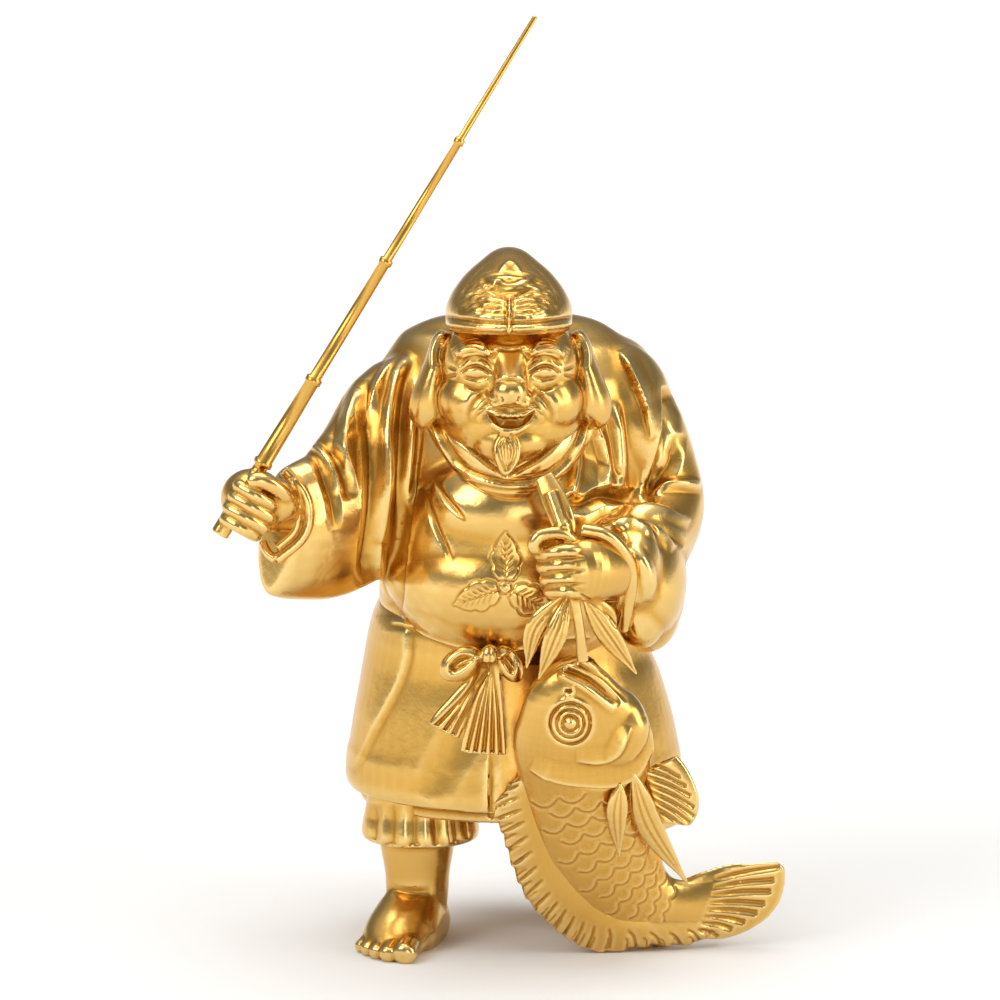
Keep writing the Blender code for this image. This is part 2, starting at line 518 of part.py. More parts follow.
def face_strokes():
    """The lines of a laughing face, given for the side to the viewer's left."""
    m = HEAD_MIDDLE
    one_side = [
        ("pad", ring_line(m - 9.5, 158, 4.9, 0.42)[:-1], 1.6, 0.7),
        ("crease", ((m - 14, 157.4), (m - 11.4, 158.9), (m - 8.4, 159), (m - 5, 157)), 0.8, -1.1, 0.1,
         0.1),
        ("crease", ((m - 14.4, 159), (m - 11.4, 161.2), (m - 7.8, 161.2), (m - 4.4, 158.8)), 0.9, -0.8,
         0.2, 0.2),
        ("crease", ((m - 13, 156.2), (m - 9.5, 155.4), (m - 6, 156.4)), 0.7, -0.6, 0.2, 0.2),
        ("crease", ((m - 12.8, 154), (m - 9, 152.8), (m - 5.8, 154.2)), 1.1, -0.6),
        ("crease", ((m - 14.8, 158), (m - 18, 159.4)), 0.7, -0.5, 0.1, 0.5),
        ("crease", ((m - 14.8, 156.8), (m - 18, 156.2)), 0.7, -0.5, 0.1, 0.5),
        ("crease", ((m - 6.2, 152.6), (m - 9.4, 149.8), (m - 11.4, 146.4), (m - 11.2, 143.4)), 1.4, -1,
         0.15, 0.5),
        ("fold", ((m - 7.8, 153), (m - 11.2, 150.4), (m - 13.4, 146.6)), 1.9, 0.7),
        ("fold", ((m - 2, 149.9), (m - 2.6, 149.7)), 1, -1.1, 0, 0),
        ("crease", ((m - 2.6, 153.4), (m - 4.6, 154), (m - 6.9, 152.8), (m - 7, 150.6)), 0.8, -0.7, 0.2,
         0.1),
        ("fold", ((m - 1.8, 148.2), (m - 5.4, 148.4), (m - 8.8, 146.6), (m - 10.4, 143.8)), 1.2, 1.5, 0.2,
         0.5),
        ("fold", ((m - 7, 147.6), (m - 9.8, 147.4), (m - 12, 148.8)), 0.8, 0.9, 0.2, 0.5),
        ("crease", ((m - 2.4, 148.4), (m - 5.8, 148), (m - 9.4, 145.6)), 0.4, -0.5, 0.2, 0.2),
    ]
    for i in range(8):
        lift = 1.5 * math.sin(math.pi * i / 7)
        start = (m - 3.2 - 1.5 * i, 162.2 + lift)
        end = (m - 5.6 - 1.7 * i, 164.6 + lift - 0.2 * i)
        middle = ((start[0] + end[0]) / 2 - 0.3, (start[1] + end[1]) / 2 + 0.3)
        one_side.append(("fold", (start, middle, end), 0.8, 0.75, 0.2, 0.4))
    mouth = ((m - 7, 147), (m - 4, 146), (m, 145.4), (m + 4, 146), (m + 7, 147), (m + 5.6, 144.2),
             (m + 3, 142.4),
             (m, 141.9), (m - 3, 142.4), (m - 5.6, 144.2))
    teeth = ((m - 4.8, 146.1), (m, 145.3), (m + 4.8, 146.1), (m + 4.2, 144.9), (m, 144.1),
             (m - 4.2, 144.9))
    whole = [
        ("crease", ((m - 6, 166.6), (m, 165.8), (m + 6, 166.6)), 0.8, -0.5),
        ("crease", ((m - 5, 168.4), (m, 167.8), (m + 5, 168.4)), 0.8, -0.5),
        ("pad", mouth, 0.9, -2.4),
        ("fold", mouth[:5], 0.9, 0.6, 0.1, 0.1),
        ("pad", teeth, 0.5, 1.5),
        ("pad", ring_line(m, 142.9, 3, 0.32)[:-1], 0.8, 0.9),
        ("crease", ((m - 5, 139.8), (m, 139), (m + 5, 139.8)), 1.4, -0.8),
    ]
    whole += [("crease", ((m + 1.3 * i, 145.8), (m + 1.3 * i, 144.2)), 0.28, -0.5, 0, 0) for i in range(-2,
                                                                                                        3)]
    return mirrored(one_side) + tuple(whole)


def beard_strokes():
    """Wavy strands of the pointed beard."""
    m = HEAD_MIDDLE - 1
    lines = []
    for i in range(7):
        x = -3 + i
        line = ((m + 0.4 * x, 140.8), (m + 0.95 * x, 137.4), (m + 0.85 * x + 0.3, 134),
                (m + 0.25 * x - 0.2, 129.8))
        lines.append(("crease", line, 0.5, -0.9, 0.1, 0.1))
    return tuple(lines)


def ear_strokes():
    """The rim and the hollow at the top of each ear; the long lobe is smooth."""
    m = HEAD_MIDDLE
    one_side = [
        ("fold", ((m - 17.6, 168.4), (m - 20.6, 167), (m - 23, 163), (m - 23.2, 158.6)), 1, 0.7, 0.1, 0.5),
        ("fold", ((m - 18.8, 165.4), (m - 20.4, 162.4), (m - 20.6, 159.4)), 1.3, -1, 0.2, 0.3),
    ]
    return mirrored(one_side)


# The cap

def cap_forms():
    bm = bmesh.new()
    rows = ((171, -33.5, 16.6, 21.4), (172.8, -33.4, 17.5, 22.8), (176, -32, 17.4, 22.4),
            (180.5, -29, 15.4, 19.6),
            (185, -25.5, 12, 15.5), (189, -22, 7.6, 10.6), (192.5, -19, 3, 4.6))
    tube(bm, [(spot(-3.1, v, y), wide, deep) for v, y, wide, deep in rows], up=AXIS_X, along=AXIS_Z,
         sides=40)
    return bm


def cap_strokes():
    """The brim's band, the seam up its middle, the fold of the peak and the creased cloth around it."""
    m = -3.1
    strokes = [
        ("crease", ((-23, 173.2), (-12, 171.4), (m, 170.8), (6, 171.4), (17, 173.2)), 0.8, -0.9, 0, 0),
        ("fold", ((-22.4, 171.6), (-12, 170.1), (m, 169.5), (6, 170.1), (16.4, 171.6)), 1.2, 0.7, 0, 0),
        ("crease", ((m, 168.2), (m + 0.1, 173), (m, 179)), 0.9, 1, 0, 0.2),
        ("crease", ((m - 0.9, 168.2), (m - 0.8, 173), (m - 0.9, 179)), 0.5, -0.6, 0, 0.2),
        ("crease", ((m + 0.9, 168.2), (m + 1, 173), (m + 0.9, 179)), 0.5, -0.6, 0, 0.2),
        ("crease", ((-6, 184.4), (-4.6, 187), (-2.8, 188.4), (-1, 187), (0.4, 184.4)), 1.1, 1.1, 0.2, 0.2),
        ("fold", ((m - 7, 184.2), (m - 4, 182.4), (m, 181.8), (m + 4, 182.4), (m + 7, 184.2)), 1.3, 0.9),
        ("pad", ((m - 6.4, 180.4), (m, 183.6), (m + 6.4, 180.4), (m, 177.2)), 2, -1.5),
        ("lap", ((-17.4, 176), (-15, 182), (-10.4, 187), (-5, 191)), 2.6, -0.9, 0.3, 0.4),
        ("lap", ((-1, 191), (4.2, 187), (8.8, 182), (11.2, 176)), 2.6, -0.9, 0.4, 0.3),
    ]
    for i in range(5):
        drop = 1.5 * i
        for side in (-1, 1):
            strokes.append(("crease", ((m + side * 1.6, 179.6 - drop), (m + side * (6 + i), 180.4 - drop),
                                       (m + side * (12 + 0.5 * i),
                                        178.4 - 0.8 * drop)), 0.9, -0.8 + 0.1 * i, 0.2, 0.4))
    return tuple(strokes)


# The hands

def right_hand_forms():
    """The fist around the rod."""
    bm = bmesh.new()
    ball(bm, spot(-73.5, 122, -46), (9.6, 8.8, 9), turn=(0, 30, 0))
    tube(bm, [(spot(-54, 120, -29), 7, 7), (spot(-62, 119.6, -37), 7.2, 7.4),
              (spot(-69, 121, -43), 7.6, 7.4)])
    ball(bm, spot(-66.5, 122, -49), (5.8, 6, 5.4))
    for (u0, v0), (u1, v1) in (((-77.3, 126), (-69, 121)), ((-78.6, 123), (-69.4, 117.6)),
                               ((-80.2, 119.9), (-71, 114.6)), ((-81, 116.8), (-73.6, 112.6))):
        finger(bm, ((u0 - 0.6, v0 + 0.3, -50), (u0, v0, -54), ((u0 + u1) / 2, (v0 + v1) / 2, -56.6),
                    (u1, v1, -54.5),
                    (u1 + 0.8, v1 - 0.5, -51.5)), 1.85)
    finger(bm, ((-63, 121.5, -51), (-67, 125.5, -54.5), (-71.6, 127.6, -56), (-75.6, 127.2, -55.5)), 2.3)
    butt = [(rod_point(along), 2.4, 2.4) for along in (-ROD_SEAT, 8 - ROD_SEAT)]
    tube(bm, butt, sides=ROD_SIDES)
    return bm


def rod_point(along):
    """A place on the rod's line, so many figure units above the seat on the fist."""
    butt = spot(*ROD_BUTT)
    axis = (spot(*ROD_AIM) - butt).normalized()
    return butt + axis * (ROD_SEAT + along) * UNIT


def rod_lathe(bm, profile, sides=ROD_SIDES, up=AXIS_Y):
    """A turned piece on the rod's line: distances above the seat and radii, both in metres."""
    stations = [(rod_point(along / UNIT), radius / UNIT, radius / UNIT) for along, radius in profile]
    tube(bm, stations, up=up, along=rod_point(1) - rod_point(0), sides=sides, steps=1)


HAND_LEAVES = (((1.8, 75.6, -50), (4.5, 87, -54), 3.1), ((5.2, 72.6, -52.5), (9.6, 84, -56.5), 3.2),
               ((32.4, 73.8, -47), (24.4, 85, -52), 3.3), ((27, 86.5, -47), (23.5, 91, -51), 2.8))


def hand_leaf_strokes():
    """The midrib and the long veins of the leaves under the left fist, and the creases of the fingers."""
    strokes = []
    for tip, bend, wide in HAND_LEAVES:
        root = (13 + 0.12 * tip[0], 96.5)
        for share in (-0.5, 0, 0.5):
            middle = (bend[0] + share * wide, bend[1])
            strokes.append(("crease", (root, middle, tip[:2]), 0.55, -0.6 if share == 0 else -0.35, 0.2,
                            0.1))
    for v in (106.2, 102.6, 99):
        strokes.append(("crease", ((7, v - 0.3), (12, v), (18.4, v + 0.2)), 0.7, -0.7, 0.1, 0.5))
    return tuple(strokes)


def left_hand_forms():
    """The fist in front of the belly, seen from its back, with the stick and the sheath that it holds."""
    bm = bmesh.new()
    tube(bm, [(spot(35, 104, -32), 8, 7.6), (spot(29, 104, -43), 8.4, 7.8),
              (spot(23.4, 103.6, -52), 8.9, 7.6),
              (spot(18.6, 103, -57.8), 9, 7), (spot(14.4, 102.6, -59.6), 8.4,
                                               5.4), (spot(11.4, 102.4, -59.6), 7, 3)])
    rows = (((5.4, 107.4), (11.6, 108), 2.2), ((6.2, 103.8), (12.4, 104.4), 2.2),
            ((7, 100.2), (13, 100.6), 2.1),
            ((8, 96.8), (13.4, 97), 1.9))
    for (u0, v0), (u1, v1), size in rows:
        finger(bm, ((u0 + 2.4, v0 - 0.2, -54), (u0 + 0.2, v0, -58), (u0 + 3.2, v0 + 0.2, -61.8),
                    (u1, v1, -63),
                    (u1 + 4, v1, -61.6), (u1 + 7, v1, -58)), size)
    finger(bm, ((16.4, 110, -58.4), (11.4, 112.8, -60), (6, 112.6, -61.4), (3.8, 110, -61.6),
                (5.4, 107.6, -60.6)), 2)
    tube(bm, [(spot(6.4, 128.8, -50), 1.1, 2.8), (spot(9.4, 122.4, -53.6), 1.3, 3.6),
              (spot(11.8, 116.4, -56.6), 1.3, 3.5),
              (spot(13.4, 109, -58), 1.2, 2.6)], up=AXIS_Y)
    tube(bm, [(spot(8.4, 124.4, -54.4), 1.8, 1.8), (spot(11.2, 116.4, -58.4), 1.9, 1.9),
              (spot(11.6, 115.6, -58.7), 2.3, 2.3),
              (spot(12.1, 114.3, -59), 2.3, 2.3), (spot(12.5, 113.4, -59.2), 1.9,
                                                   1.9), (spot(14, 106, -60), 1.9, 1.9)],
         sides=24)
    for tip, bend, wide in HAND_LEAVES:
        leaf(bm, ((13 + 0.12 * tip[0], 96.5, -55), bend, tip), wide, 1.3, 0.9)
    tube(bm, [(spot(14.6, 97, -56), 1.5, 1.5), (spot(16.2, 88, -55.4), 1.5, 1.5),
              (spot(17.4, 77.6, -53), 1.6, 1.6)],
         sides=16)
    return bm


# The sash bow

def bow_forms():
    """The bow: its knot, two puffed loops and two pleated tails."""
    bm = bmesh.new()
    ball(bm, spot(-8.3, 78.9, -39), (2.9, 3.2, 2.8), rings=4)
    ball(bm, spot(-16.4, 76.6, -37.6), (6.6, 4.6, 3), turn=(0, -34, 0))
    ball(bm, spot(-3, 76.6, -37.8), (5.8, 3.4, 3), turn=(0, 62, 0))
    tail = ((78, 1.8, -9.6), (72, 2.8, -12), (66, 3.8, -15.8), (60.6, 4.6, -19.6), (57.8, 4.8, -21.2))
    tube(bm, [(spot(u, v, -37), 1.7, wide) for v, wide, u in tail], up=AXIS_Y)
    tail = ((78, 2, -8), (71, 3.2, -8.2), (64, 4.6, -9), (57, 5.8, -9.8), (51.6, 6.4, -10.2))
    tube(bm, [(spot(u, v, -38.4), 1.9, wide) for v, wide, u in tail], up=AXIS_Y)
    return bm


def bow_strokes():
    """The hollows of the loops, the pleats of the tails and their wavy ends."""
    strokes = [
        ("pad", ((-11.6, 78.4), (-16.4, 79.6), (-20, 76.8), (-19.6, 73.8), (-16.4, 74.4)), 1.4, -2.4),
        ("crease", ((-10.6, 78.6), (-15, 77.4), (-19, 74.8)), 0.7, 1.1, 0.1, 0.2),
        ("pad", ((-6, 78.2), (-2.6, 80.2), (-0.8, 78), (-1.4, 73.8), (-3.4, 74)), 1.2, -2.2),
        ("crease", ((-6.4, 78.4), (-3.2, 77.4), (-1.6, 74.2)), 0.6, 0.9, 0.1, 0.2),
        ("crease", ((-10.4, 80.8), (-10.8, 77)), 0.5, -0.6, 0.1, 0.1),
        ("crease", ((-8.3, 81.6), (-8.3, 76.4)), 0.5, -0.4, 0.1, 0.1),
        ("crease", ((-6.4, 80.8), (-6, 77)), 0.5, -0.6, 0.1, 0.1),
    ]
    for i in range(5):
        x = i - 2
        strokes.append(("crease", ((-8.2 + 0.5 * x, 77), (-8.8 + 1.4 * x, 66), (-10.2 + 2.6 * x, 50.5)), 1,
                        -1.5, 0.1, 0))
    for i in range(3):
        x = i - 1
        strokes.append(("crease", ((-9.8 + 0.5 * x, 77), (-13.4 + 1.2 * x, 69 + 0.6 * x),
                                   (-21.4 + 2.6 * x, 57.4 - 1.4 * x)),
                        1, -1.3, 0.1, 0))
    return tuple(strokes)


# The sea bream

FISH_EYE = (13.9, 60.3)      # u, v

def fish_forms():
    bm = bmesh.new()
    rows = ((17.6, 78.6, -50, 3.4, 3), (16.6, 74.5, -49.6, 5.8, 8.6), (16, 68, -48, 8, 14.4),
            (17, 60, -45, 9.4, 18.6),
            (17.6, 52, -41.5, 9.8, 19.2), (18, 45, -38, 9.4, 18), (19, 37, -34, 9, 17.4), (21.6, 28, -30,
                                                                                           8.4, 17),
            (26, 19.5, -26.5, 7.4, 15), (32, 12.4, -23.5, 6, 11.8), (39, 8.4, -21.5, 4.6, 9), (46, 7.4,
                                                                                               -20, 3.8, 8),
            (52, 7.8, -19, 2.9, 8.4), (58, 9.4, -18, 1.9, 9), (63.5, 11.4, -17, 1.2, 9))
    tube(bm, [(spot(u, v, y), thick, wide) for u, v, y, thick, wide in rows], up=AXIS_Y, sides=48)
    ball(bm, spot(26, 58, -47), (9.4, 11, 6), turn=(0, 20, 0))
    ball(bm, spot(*FISH_EYE, -52.4), (5.6, 5.6, 3.6), rings=4)
    return bm


def fin_forms():
    bm = bmesh.new()
    fins(bm)
    return bm


BACK_FIN_ROOT = ((2, 46), (4, 32), (8, 17), (16, 8.6), (25, 3.9), (37, 2), (50, 3))      # u, v
BACK_FIN_EDGE = ((-1, 47.6), (-8.4, 37), (-5.8, 22), (2.4, 7.6), (12.6, -2.6), (28, -5), (47, -3.6))
BACK_FIN_RAYS = 18
FAN_ROOT = ((33, 47), (34.4, 42), (36, 38))
FAN_EDGE = ((45, 47.4), (46, 40), (48.4, 32.6), (46, 28.4))
FAN_RAYS = 8
TAIL_ROOT = ((46, 15), (44, 8), (43, 1))
TAIL_EDGE = ((73.4, 20.4), (71.6, 13), (66.4, 5), (59, -0.6), (51, -2.6))
TAIL_RAYS = 10


def fins(bm):
    """The fins: one along the back, the tail, the fan behind the gill and the two long ones."""
    root = smooth_line(BACK_FIN_ROOT, 8)
    edge = smooth_line(BACK_FIN_EDGE, 8)
    web = []
    for inner, outer in zip(root, edge):
        middle = (inner + outer) / 2
        depth = np.interp(middle[1], (-4, 48), (-25, -43))
        web.append((spot(*middle, depth), 0.9, max(1, np.hypot(*(outer - inner)) / 2 - 0.9)))
    tube(bm, web, up=AXIS_Y, sides=20, steps=1)
    rays(bm, BACK_FIN_ROOT, BACK_FIN_EDGE, BACK_FIN_RAYS, (-27, -45), (-26, -42), 2.1, 1, 0.09)
    rows = ((45, 8, -20, 7.4), (50, 8, -19.5, 9.4), (56, 8.6, -18.5, 10.4), (62, 10.6, -17.5, 9.6),
            (67, 13.6, -17, 7),
            (71, 17, -16.8, 3.4))
    tube(bm, [(spot(u, v, y), 1.2, wide) for u, v, y, wide in rows], up=AXIS_Y, sides=20)
    rays(bm, TAIL_ROOT, TAIL_EDGE, TAIL_RAYS, (-21, -21), (-19, -17), 2.6, 1.6, 0.03)
    rays(bm, FAN_ROOT, FAN_EDGE, FAN_RAYS, (-43, -44), (-34, -37), 2.7, 1, 0.03)
    leaf(bm, ((28, 43.6, -49), (27, 34, -46.6), (27.8, 22.4, -40.4)), 3.3, 1.3, 0.8)
    leaf(bm, ((31.4, 46.6, -47.6), (36.4, 31, -42), (47, 14.8, -30.8)), 4, 1.4, 0.8)


def rays(bm, root, edge, count, root_depths, edge_depths, half_width, thickness, slant):
    """Overlapping rays from one line to another, with the depths at the lowest and the highest end."""
    inner = smooth_line(root, 30)
    outer = smooth_line(edge, 30)
    for i in range(count):
        t = i / (count - 1)
        start = inner[int(t * (1 - slant) * (len(inner) - 1))]
        end = outer[int((slant + (1 - slant) * t) * (len(outer) - 1))]
        low = np.interp(start[1], (-4, 48), root_depths)
        high = np.interp(end[1], (-4, 48), edge_depths)
        bent = start * 0.45 + end * 0.55
        leaf(bm, ((*start, low), (*bent, (low + high) / 2 - 1.2), (*end, high)), half_width, thickness,
             1.15)


def fin_strokes():
    """The midribs of the two long fins and their fine lines."""
    strokes = []
    for middle, half in ((((28, 43), (27, 34), (27.8, 23)), 1.5),
                         (((31.4, 46), (36.4, 31), (46.6, 15.6)), 1.8)):
        for share in (-1, 0, 1):
            line = tuple((u + share * half * (1 if i == 1 else 0.2), v) for i, (u, v) in enumerate(middle))
            strokes.append(("crease", line, 0.5, -0.5 if share == 0 else -0.3, 0.1, 0.1))
    return tuple(strokes)


def fish_scales():
    """Rows of round scales that overlap toward the tail."""
    strokes = []
    spine = smooth_line(((17, 51), (18, 43), (19.6, 35), (22.6, 26), (27.6, 17.6), (34, 11), (42, 7.6)),
                        12)
    rows = 15
    for row in range(rows):
        i = int(row * (len(spine) - 3) / (rows - 1))
        middle = spine[i]
        ahead = spine[i + 2] - spine[i]
        ahead = ahead / np.hypot(*ahead)
        side = np.array((-ahead[1], ahead[0]))
        wide = 8.8 - 0.32 * row
        for k in range(-3, 4):
            shift = (k + (0.5 if row % 2 else 0)) * wide
            if abs(shift) > 17.5 - 0.8 * row:
                continue
            centre = middle + side * shift
            arc = [centre + side * wide * 0.54 * s + ahead * 0.34 * wide * (1 - s * s) for s in (-1, -0.5,
                                                                                                 0, 0.5, 1)]
            line = tuple(tuple(p) for p in arc)
            strokes.append(("lap", line, 2, 0.22, 0.05, 0.05))
            strokes.append(("crease", line, 0.55, -0.42, 0.15, 0.15))
    return tuple(strokes)


FISH_STROKES = (
    # The edge of the gill cover, the line before it, the lips, the nostril and the brow over the eye
    ("lap", ((2.6, 47.4), (8, 45.2), (14.7, 43.6), (25, 43), (32.2, 46), (36.6, 53.6), (35, 62)), 5, 1.8,
     0.1, 0.3),
    ("crease", ((14.7, 43), (25, 42.4), (32.6, 45.6), (37, 53.6)), 0.8, -0.8, 0.2, 0.2),
    ("lap", ((15.3, 49.8), (22, 49.4), (27.5, 51.9), (30.8, 59.2)), 4.4, 1.3, 0.3, 0.3),
    ("crease", ((12.6, 75.4), (20.6, 71.6), (27.6, 65.6)), 1.4, -1.8, 0, 0.3),
    ("fold", ((10.6, 74.4), (19, 69.4), (26.4, 63.4)), 1.5, 0.9, 0.1, 0.4),
    ("crease", ((16, 77), (24, 73), (30, 66.4)), 1.2, -1.3, 0, 0.3),
    ("fold", ((13.2, 69.8), (13.3, 69)), 1.2, -1.4, 0, 0),
    ("fold", ((14.6, 71), (14.8, 68.6), (12.6, 67.8)), 0.6, 0.7, 0.1, 0.1),
    ("fold", ((9, 64), (14, 67), (20, 64)), 1.6, 0.5),
)


FISH_EYE_STROKES = (
    ("crease", ring_line(*FISH_EYE, 5.6), 0.9, -1.2, 0, 0),
    ("crease", ring_line(*FISH_EYE, 2.6), 0.9, -0.9, 0, 0),
)


def socket_cutter(roll):
    """The hole for the rod's plug, with a flat seat over it, cut through the top of the fist."""
    bm = bmesh.new()
    hole = PLUG_RADIUS + PLUG_CLEARANCE
    seat = ROD_LOW_RADIUS + RING_RISE + PLUG_CLEARANCE
    depth = PLUG_LENGTH + PLUG_CLEARANCE
    up = Matrix.Rotation(math.radians(roll), 3, "Z") @ AXIS_Y
    rod_lathe(bm, ((-depth, hole), (0, hole), (0, seat), (SEAT_CUT, seat)), up=up)
    return lump_of(bm, "socket cutter")


def gold_material(name, tone):
    material = bpy.data.materials.new(name)
    material.use_nodes = True
    shader = material.node_tree.nodes["Principled BSDF"]
    shader.inputs["Base Color"].default_value = (*tone, 1)
    shader.inputs["Metallic"].default_value = 1
    shader.inputs["Roughness"].default_value = 0.3
    return material


def socketed_and_thinned(mesh, roll):
    """The skin with the rod's socket cut in, in fewer triangles everywhere but around the socket."""
    lump = placed("thick skin", mesh)
    low, high = rod_point(-SOCKET_MARGIN - (PLUG_LENGTH + PLUG_CLEARANCE) / UNIT), rod_point(SOCKET_MARGIN)
    reach = ROD_LOW_RADIUS + RING_RISE + PLUG_CLEARANCE + SOCKET_MARGIN * UNIT
    away = lump.vertex_groups.new(name="away from the socket")
    axis = high - low
    for vert in mesh.vertices:
        share = min(1, max(0, (vert.co - low).dot(axis) / axis.length_squared))
        if (vert.co - low - axis * share).length > reach:
            away.add([vert.index], 1, "REPLACE")
    cutter = socket_cutter(roll)
    cutter.hide_render = True
    cutter.display_type = "WIRE"
    cut = lump.modifiers.new("socket", "BOOLEAN")
    cut.operation = "DIFFERENCE"
    cut.solver = "EXACT"
    cut.object = cutter
    thin = lump.modifiers.new("thin", "DECIMATE")
    thin.ratio = FIGURE_TRIANGLES / (2 * len(mesh.vertices))
    thin.vertex_group = away.name
    thin.use_collapse_triangulate = True
    thinned = evaluated(lump)
    bpy.data.objects.remove(cutter)
    return thinned


def tight(mesh):
    """Whether the whole skin is there and each of its edges joins two faces."""
    edges = np.empty(len(mesh.loops), int)
    mesh.loops.foreach_get("edge_index", edges)
    uses = np.bincount(edges, minlength=len(mesh.edges))
    return len(mesh.polygons) > FIGURE_TRIANGLES / 2 and bool((uses == 2).all())


def cut_level(mesh):
    """Cuts the soles and the underside of the fish off at the standing plane."""
    bm = bmesh.new()
    bm.from_mesh(mesh)
    for vert in bm.verts:
        if abs(vert.co.z) < SOLE_SNAP:
            vert.co.z = 0
    whole = bm.verts[:] + bm.edges[:] + bm.faces[:]
    cut = bmesh.ops.bisect_plane(bm, geom=whole, plane_co=(0, 0, 0), plane_no=(0, 0, -1), clear_outer=True)
    rim = [g for g in cut["geom_cut"] if isinstance(g, bmesh.types.BMEdge) and g.is_boundary]
    bmesh.ops.holes_fill(bm, edges=rim)
    bmesh.ops.triangulate(bm, faces=bm.faces)
    bm.to_mesh(mesh)
    bm.free()


def clean(mesh):
    """Closes up slivers so that the skin is one tight solid."""
    bm = bmesh.new()
    bm.from_mesh(mesh)
    for reach in SLIVERS:
        bmesh.ops.remove_doubles(bm, verts=bm.verts, dist=reach)
        bmesh.ops.dissolve_degenerate(bm, edges=bm.edges, dist=reach)
        bmesh.ops.triangulate(bm, faces=bm.faces)
    bmesh.ops.delete(bm, geom=[edge for edge in bm.edges if edge.is_wire], context="EDGES")
    keep_largest(bm)
    bmesh.ops.holes_fill(bm, edges=[edge for edge in bm.edges if edge.is_boundary])
    bmesh.ops.triangulate(bm, faces=bm.faces)
    bmesh.ops.recalc_face_normals(bm, faces=bm.faces)
    bm.to_mesh(mesh)
    bm.free()


def keep_largest(bm):
    """Leaves only the largest connected skin."""
    bm.verts.index_update()
    group = {}
    sizes = []
    for start in bm.verts:
        if start in group:
            continue
        group[start] = len(sizes)
        waiting = [start]
        count = 0
        while waiting:
            vert = waiting.pop()
            count += 1
            for edge in vert.link_edges:
                other = edge.other_vert(vert)
                if other not in group:
                    group[other] = len(sizes)
                    waiting.append(other)
        sizes.append(count)
    main_group = sizes.index(max(sizes))
    bmesh.ops.delete(bm, geom=[vert for vert in bm.verts if group[vert] != main_group], context="VERTS")


def build_figure():
    """The one casting: every form has its own skin and carving, then one skin goes over all of them."""
    robe = skinned(robe_forms(), ROUGH_GRAIN, 12, sleeve_hollows())
    carve(robe, ROBE_STROKES)
    carve(robe, BACK_STROKES, 180)
    skirt_skin = skinned(skirt_forms(), ROUGH_GRAIN, 4)
    carve(skirt_skin, ROBE_STROKES)
    carve(skirt_skin, BACK_STROKES, 180)
    legs = skinned(leg_forms(), FINE_GRAIN, 3)
    carve(legs, LEG_STROKES)
    head = skinned(head_forms(), FINE_GRAIN, 3)
    carve(head, face_strokes() + beard_strokes() + ear_strokes())
    cap = skinned(cap_forms(), FINE_GRAIN, 2)
    carve(cap, cap_strokes())
    collar = skinned(collar_forms(), FINE_GRAIN, 4)
    carve(collar, collar_strokes())
    bow = skinned(bow_forms(), FINE_GRAIN, 1)
    carve(bow, bow_strokes())
    fish = skinned(fish_forms(), FINE_GRAIN, 2)
    carve(fish, FISH_STROKES + fish_scales() + FISH_EYE_STROKES)
    fish_fins = skinned(fin_forms(), FINE_GRAIN, 1)
    left_hand = skinned(left_hand_forms(), FINE_GRAIN, 1)
    carve(left_hand, hand_leaf_strokes())
    forms = [robe, skirt_skin, legs, head, cap, collar, bow, fish, fish_fins, left_hand,
             skinned(right_hand_forms(), FINE_GRAIN, 1)]
    bm = bmesh.new()
    for mesh in forms:
        bm.from_mesh(mesh)
        bpy.data.meshes.remove(mesh)
    thick = skinned(bm, JOIN_GRAIN, 0)
    for roll in SOCKET_ROLLS:
        mesh = socketed_and_thinned(thick, roll)
        clean(mesh)
        cut_level(mesh)
        clean(mesh)
        if tight(mesh):
            break
    figure = placed("figure", mesh)
    figure.data.materials.clear()
    figure.data.materials.append(gold_material("gold figure", GOLD))
    return figure


def build_rod():
    """The bamboo rod: a plug, two rings at the hand, then four lengths that end in a ring and step down."""
    low, step = ROD_LOW_RADIUS, PLUG_CLEARANCE
    neck = low * NECK_SHARE
    profile = [(-PLUG_LENGTH, PLUG_RADIUS - ROD_BEVEL), (ROD_BEVEL - PLUG_LENGTH, PLUG_RADIUS),
               (step, PLUG_RADIUS),
               (step, low), (FIRST_RING_TOP, low), (FIRST_RING_TOP + ROD_BEVEL, neck),
               (SECOND_RING_FOOT - ROD_BEVEL, neck), (SECOND_RING_FOOT, low + RING_RISE),
               (SECOND_RING_TOP, low + RING_RISE), (SECOND_RING_TOP + ROD_BEVEL, low)]
    for share in NODE_SHARES:
        at = share * ROD_LENGTH
        radius = low + (ROD_TIP_RADIUS - low) * share
        profile += [(at - NODE_RING - ROD_BEVEL, radius), (at - NODE_RING, radius + RING_RISE),
                    (at, radius + RING_RISE), (at + ROD_BEVEL, radius * STEP_SHARE)]
    profile += [(ROD_LENGTH - ROD_BEVEL, ROD_TIP_RADIUS), (ROD_LENGTH, ROD_TIP_RADIUS * 0.6)]
    bm = bmesh.new()
    rod_lathe(bm, profile)
    rod = lump_of(bm, "fishing_rod")
    rod.data.materials.append(gold_material("gold rod", GOLD))
    for face in rod.data.polygons:
        face.use_smooth = True
    return rod


def main():
    for obj in list(bpy.data.objects):
        bpy.data.objects.remove(obj)
    build_figure()
    build_rod()


main()
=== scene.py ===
"""Ebisu, the god of fishermen, in gold leaf: the finish and the finer carving of the cast figure.

Metres, +Z up, the figure faces -Y. Places on the figure are in figure units, 201 to its height, and are
given as a viewer in front of it sees them, who looks down on it by VIEW_TILT: u to the right, v up, and
the depth behind the front plane.
"""

import math

import bmesh
import bpy
import numpy as np
from mathutils import Euler, Matrix, Vector, noise


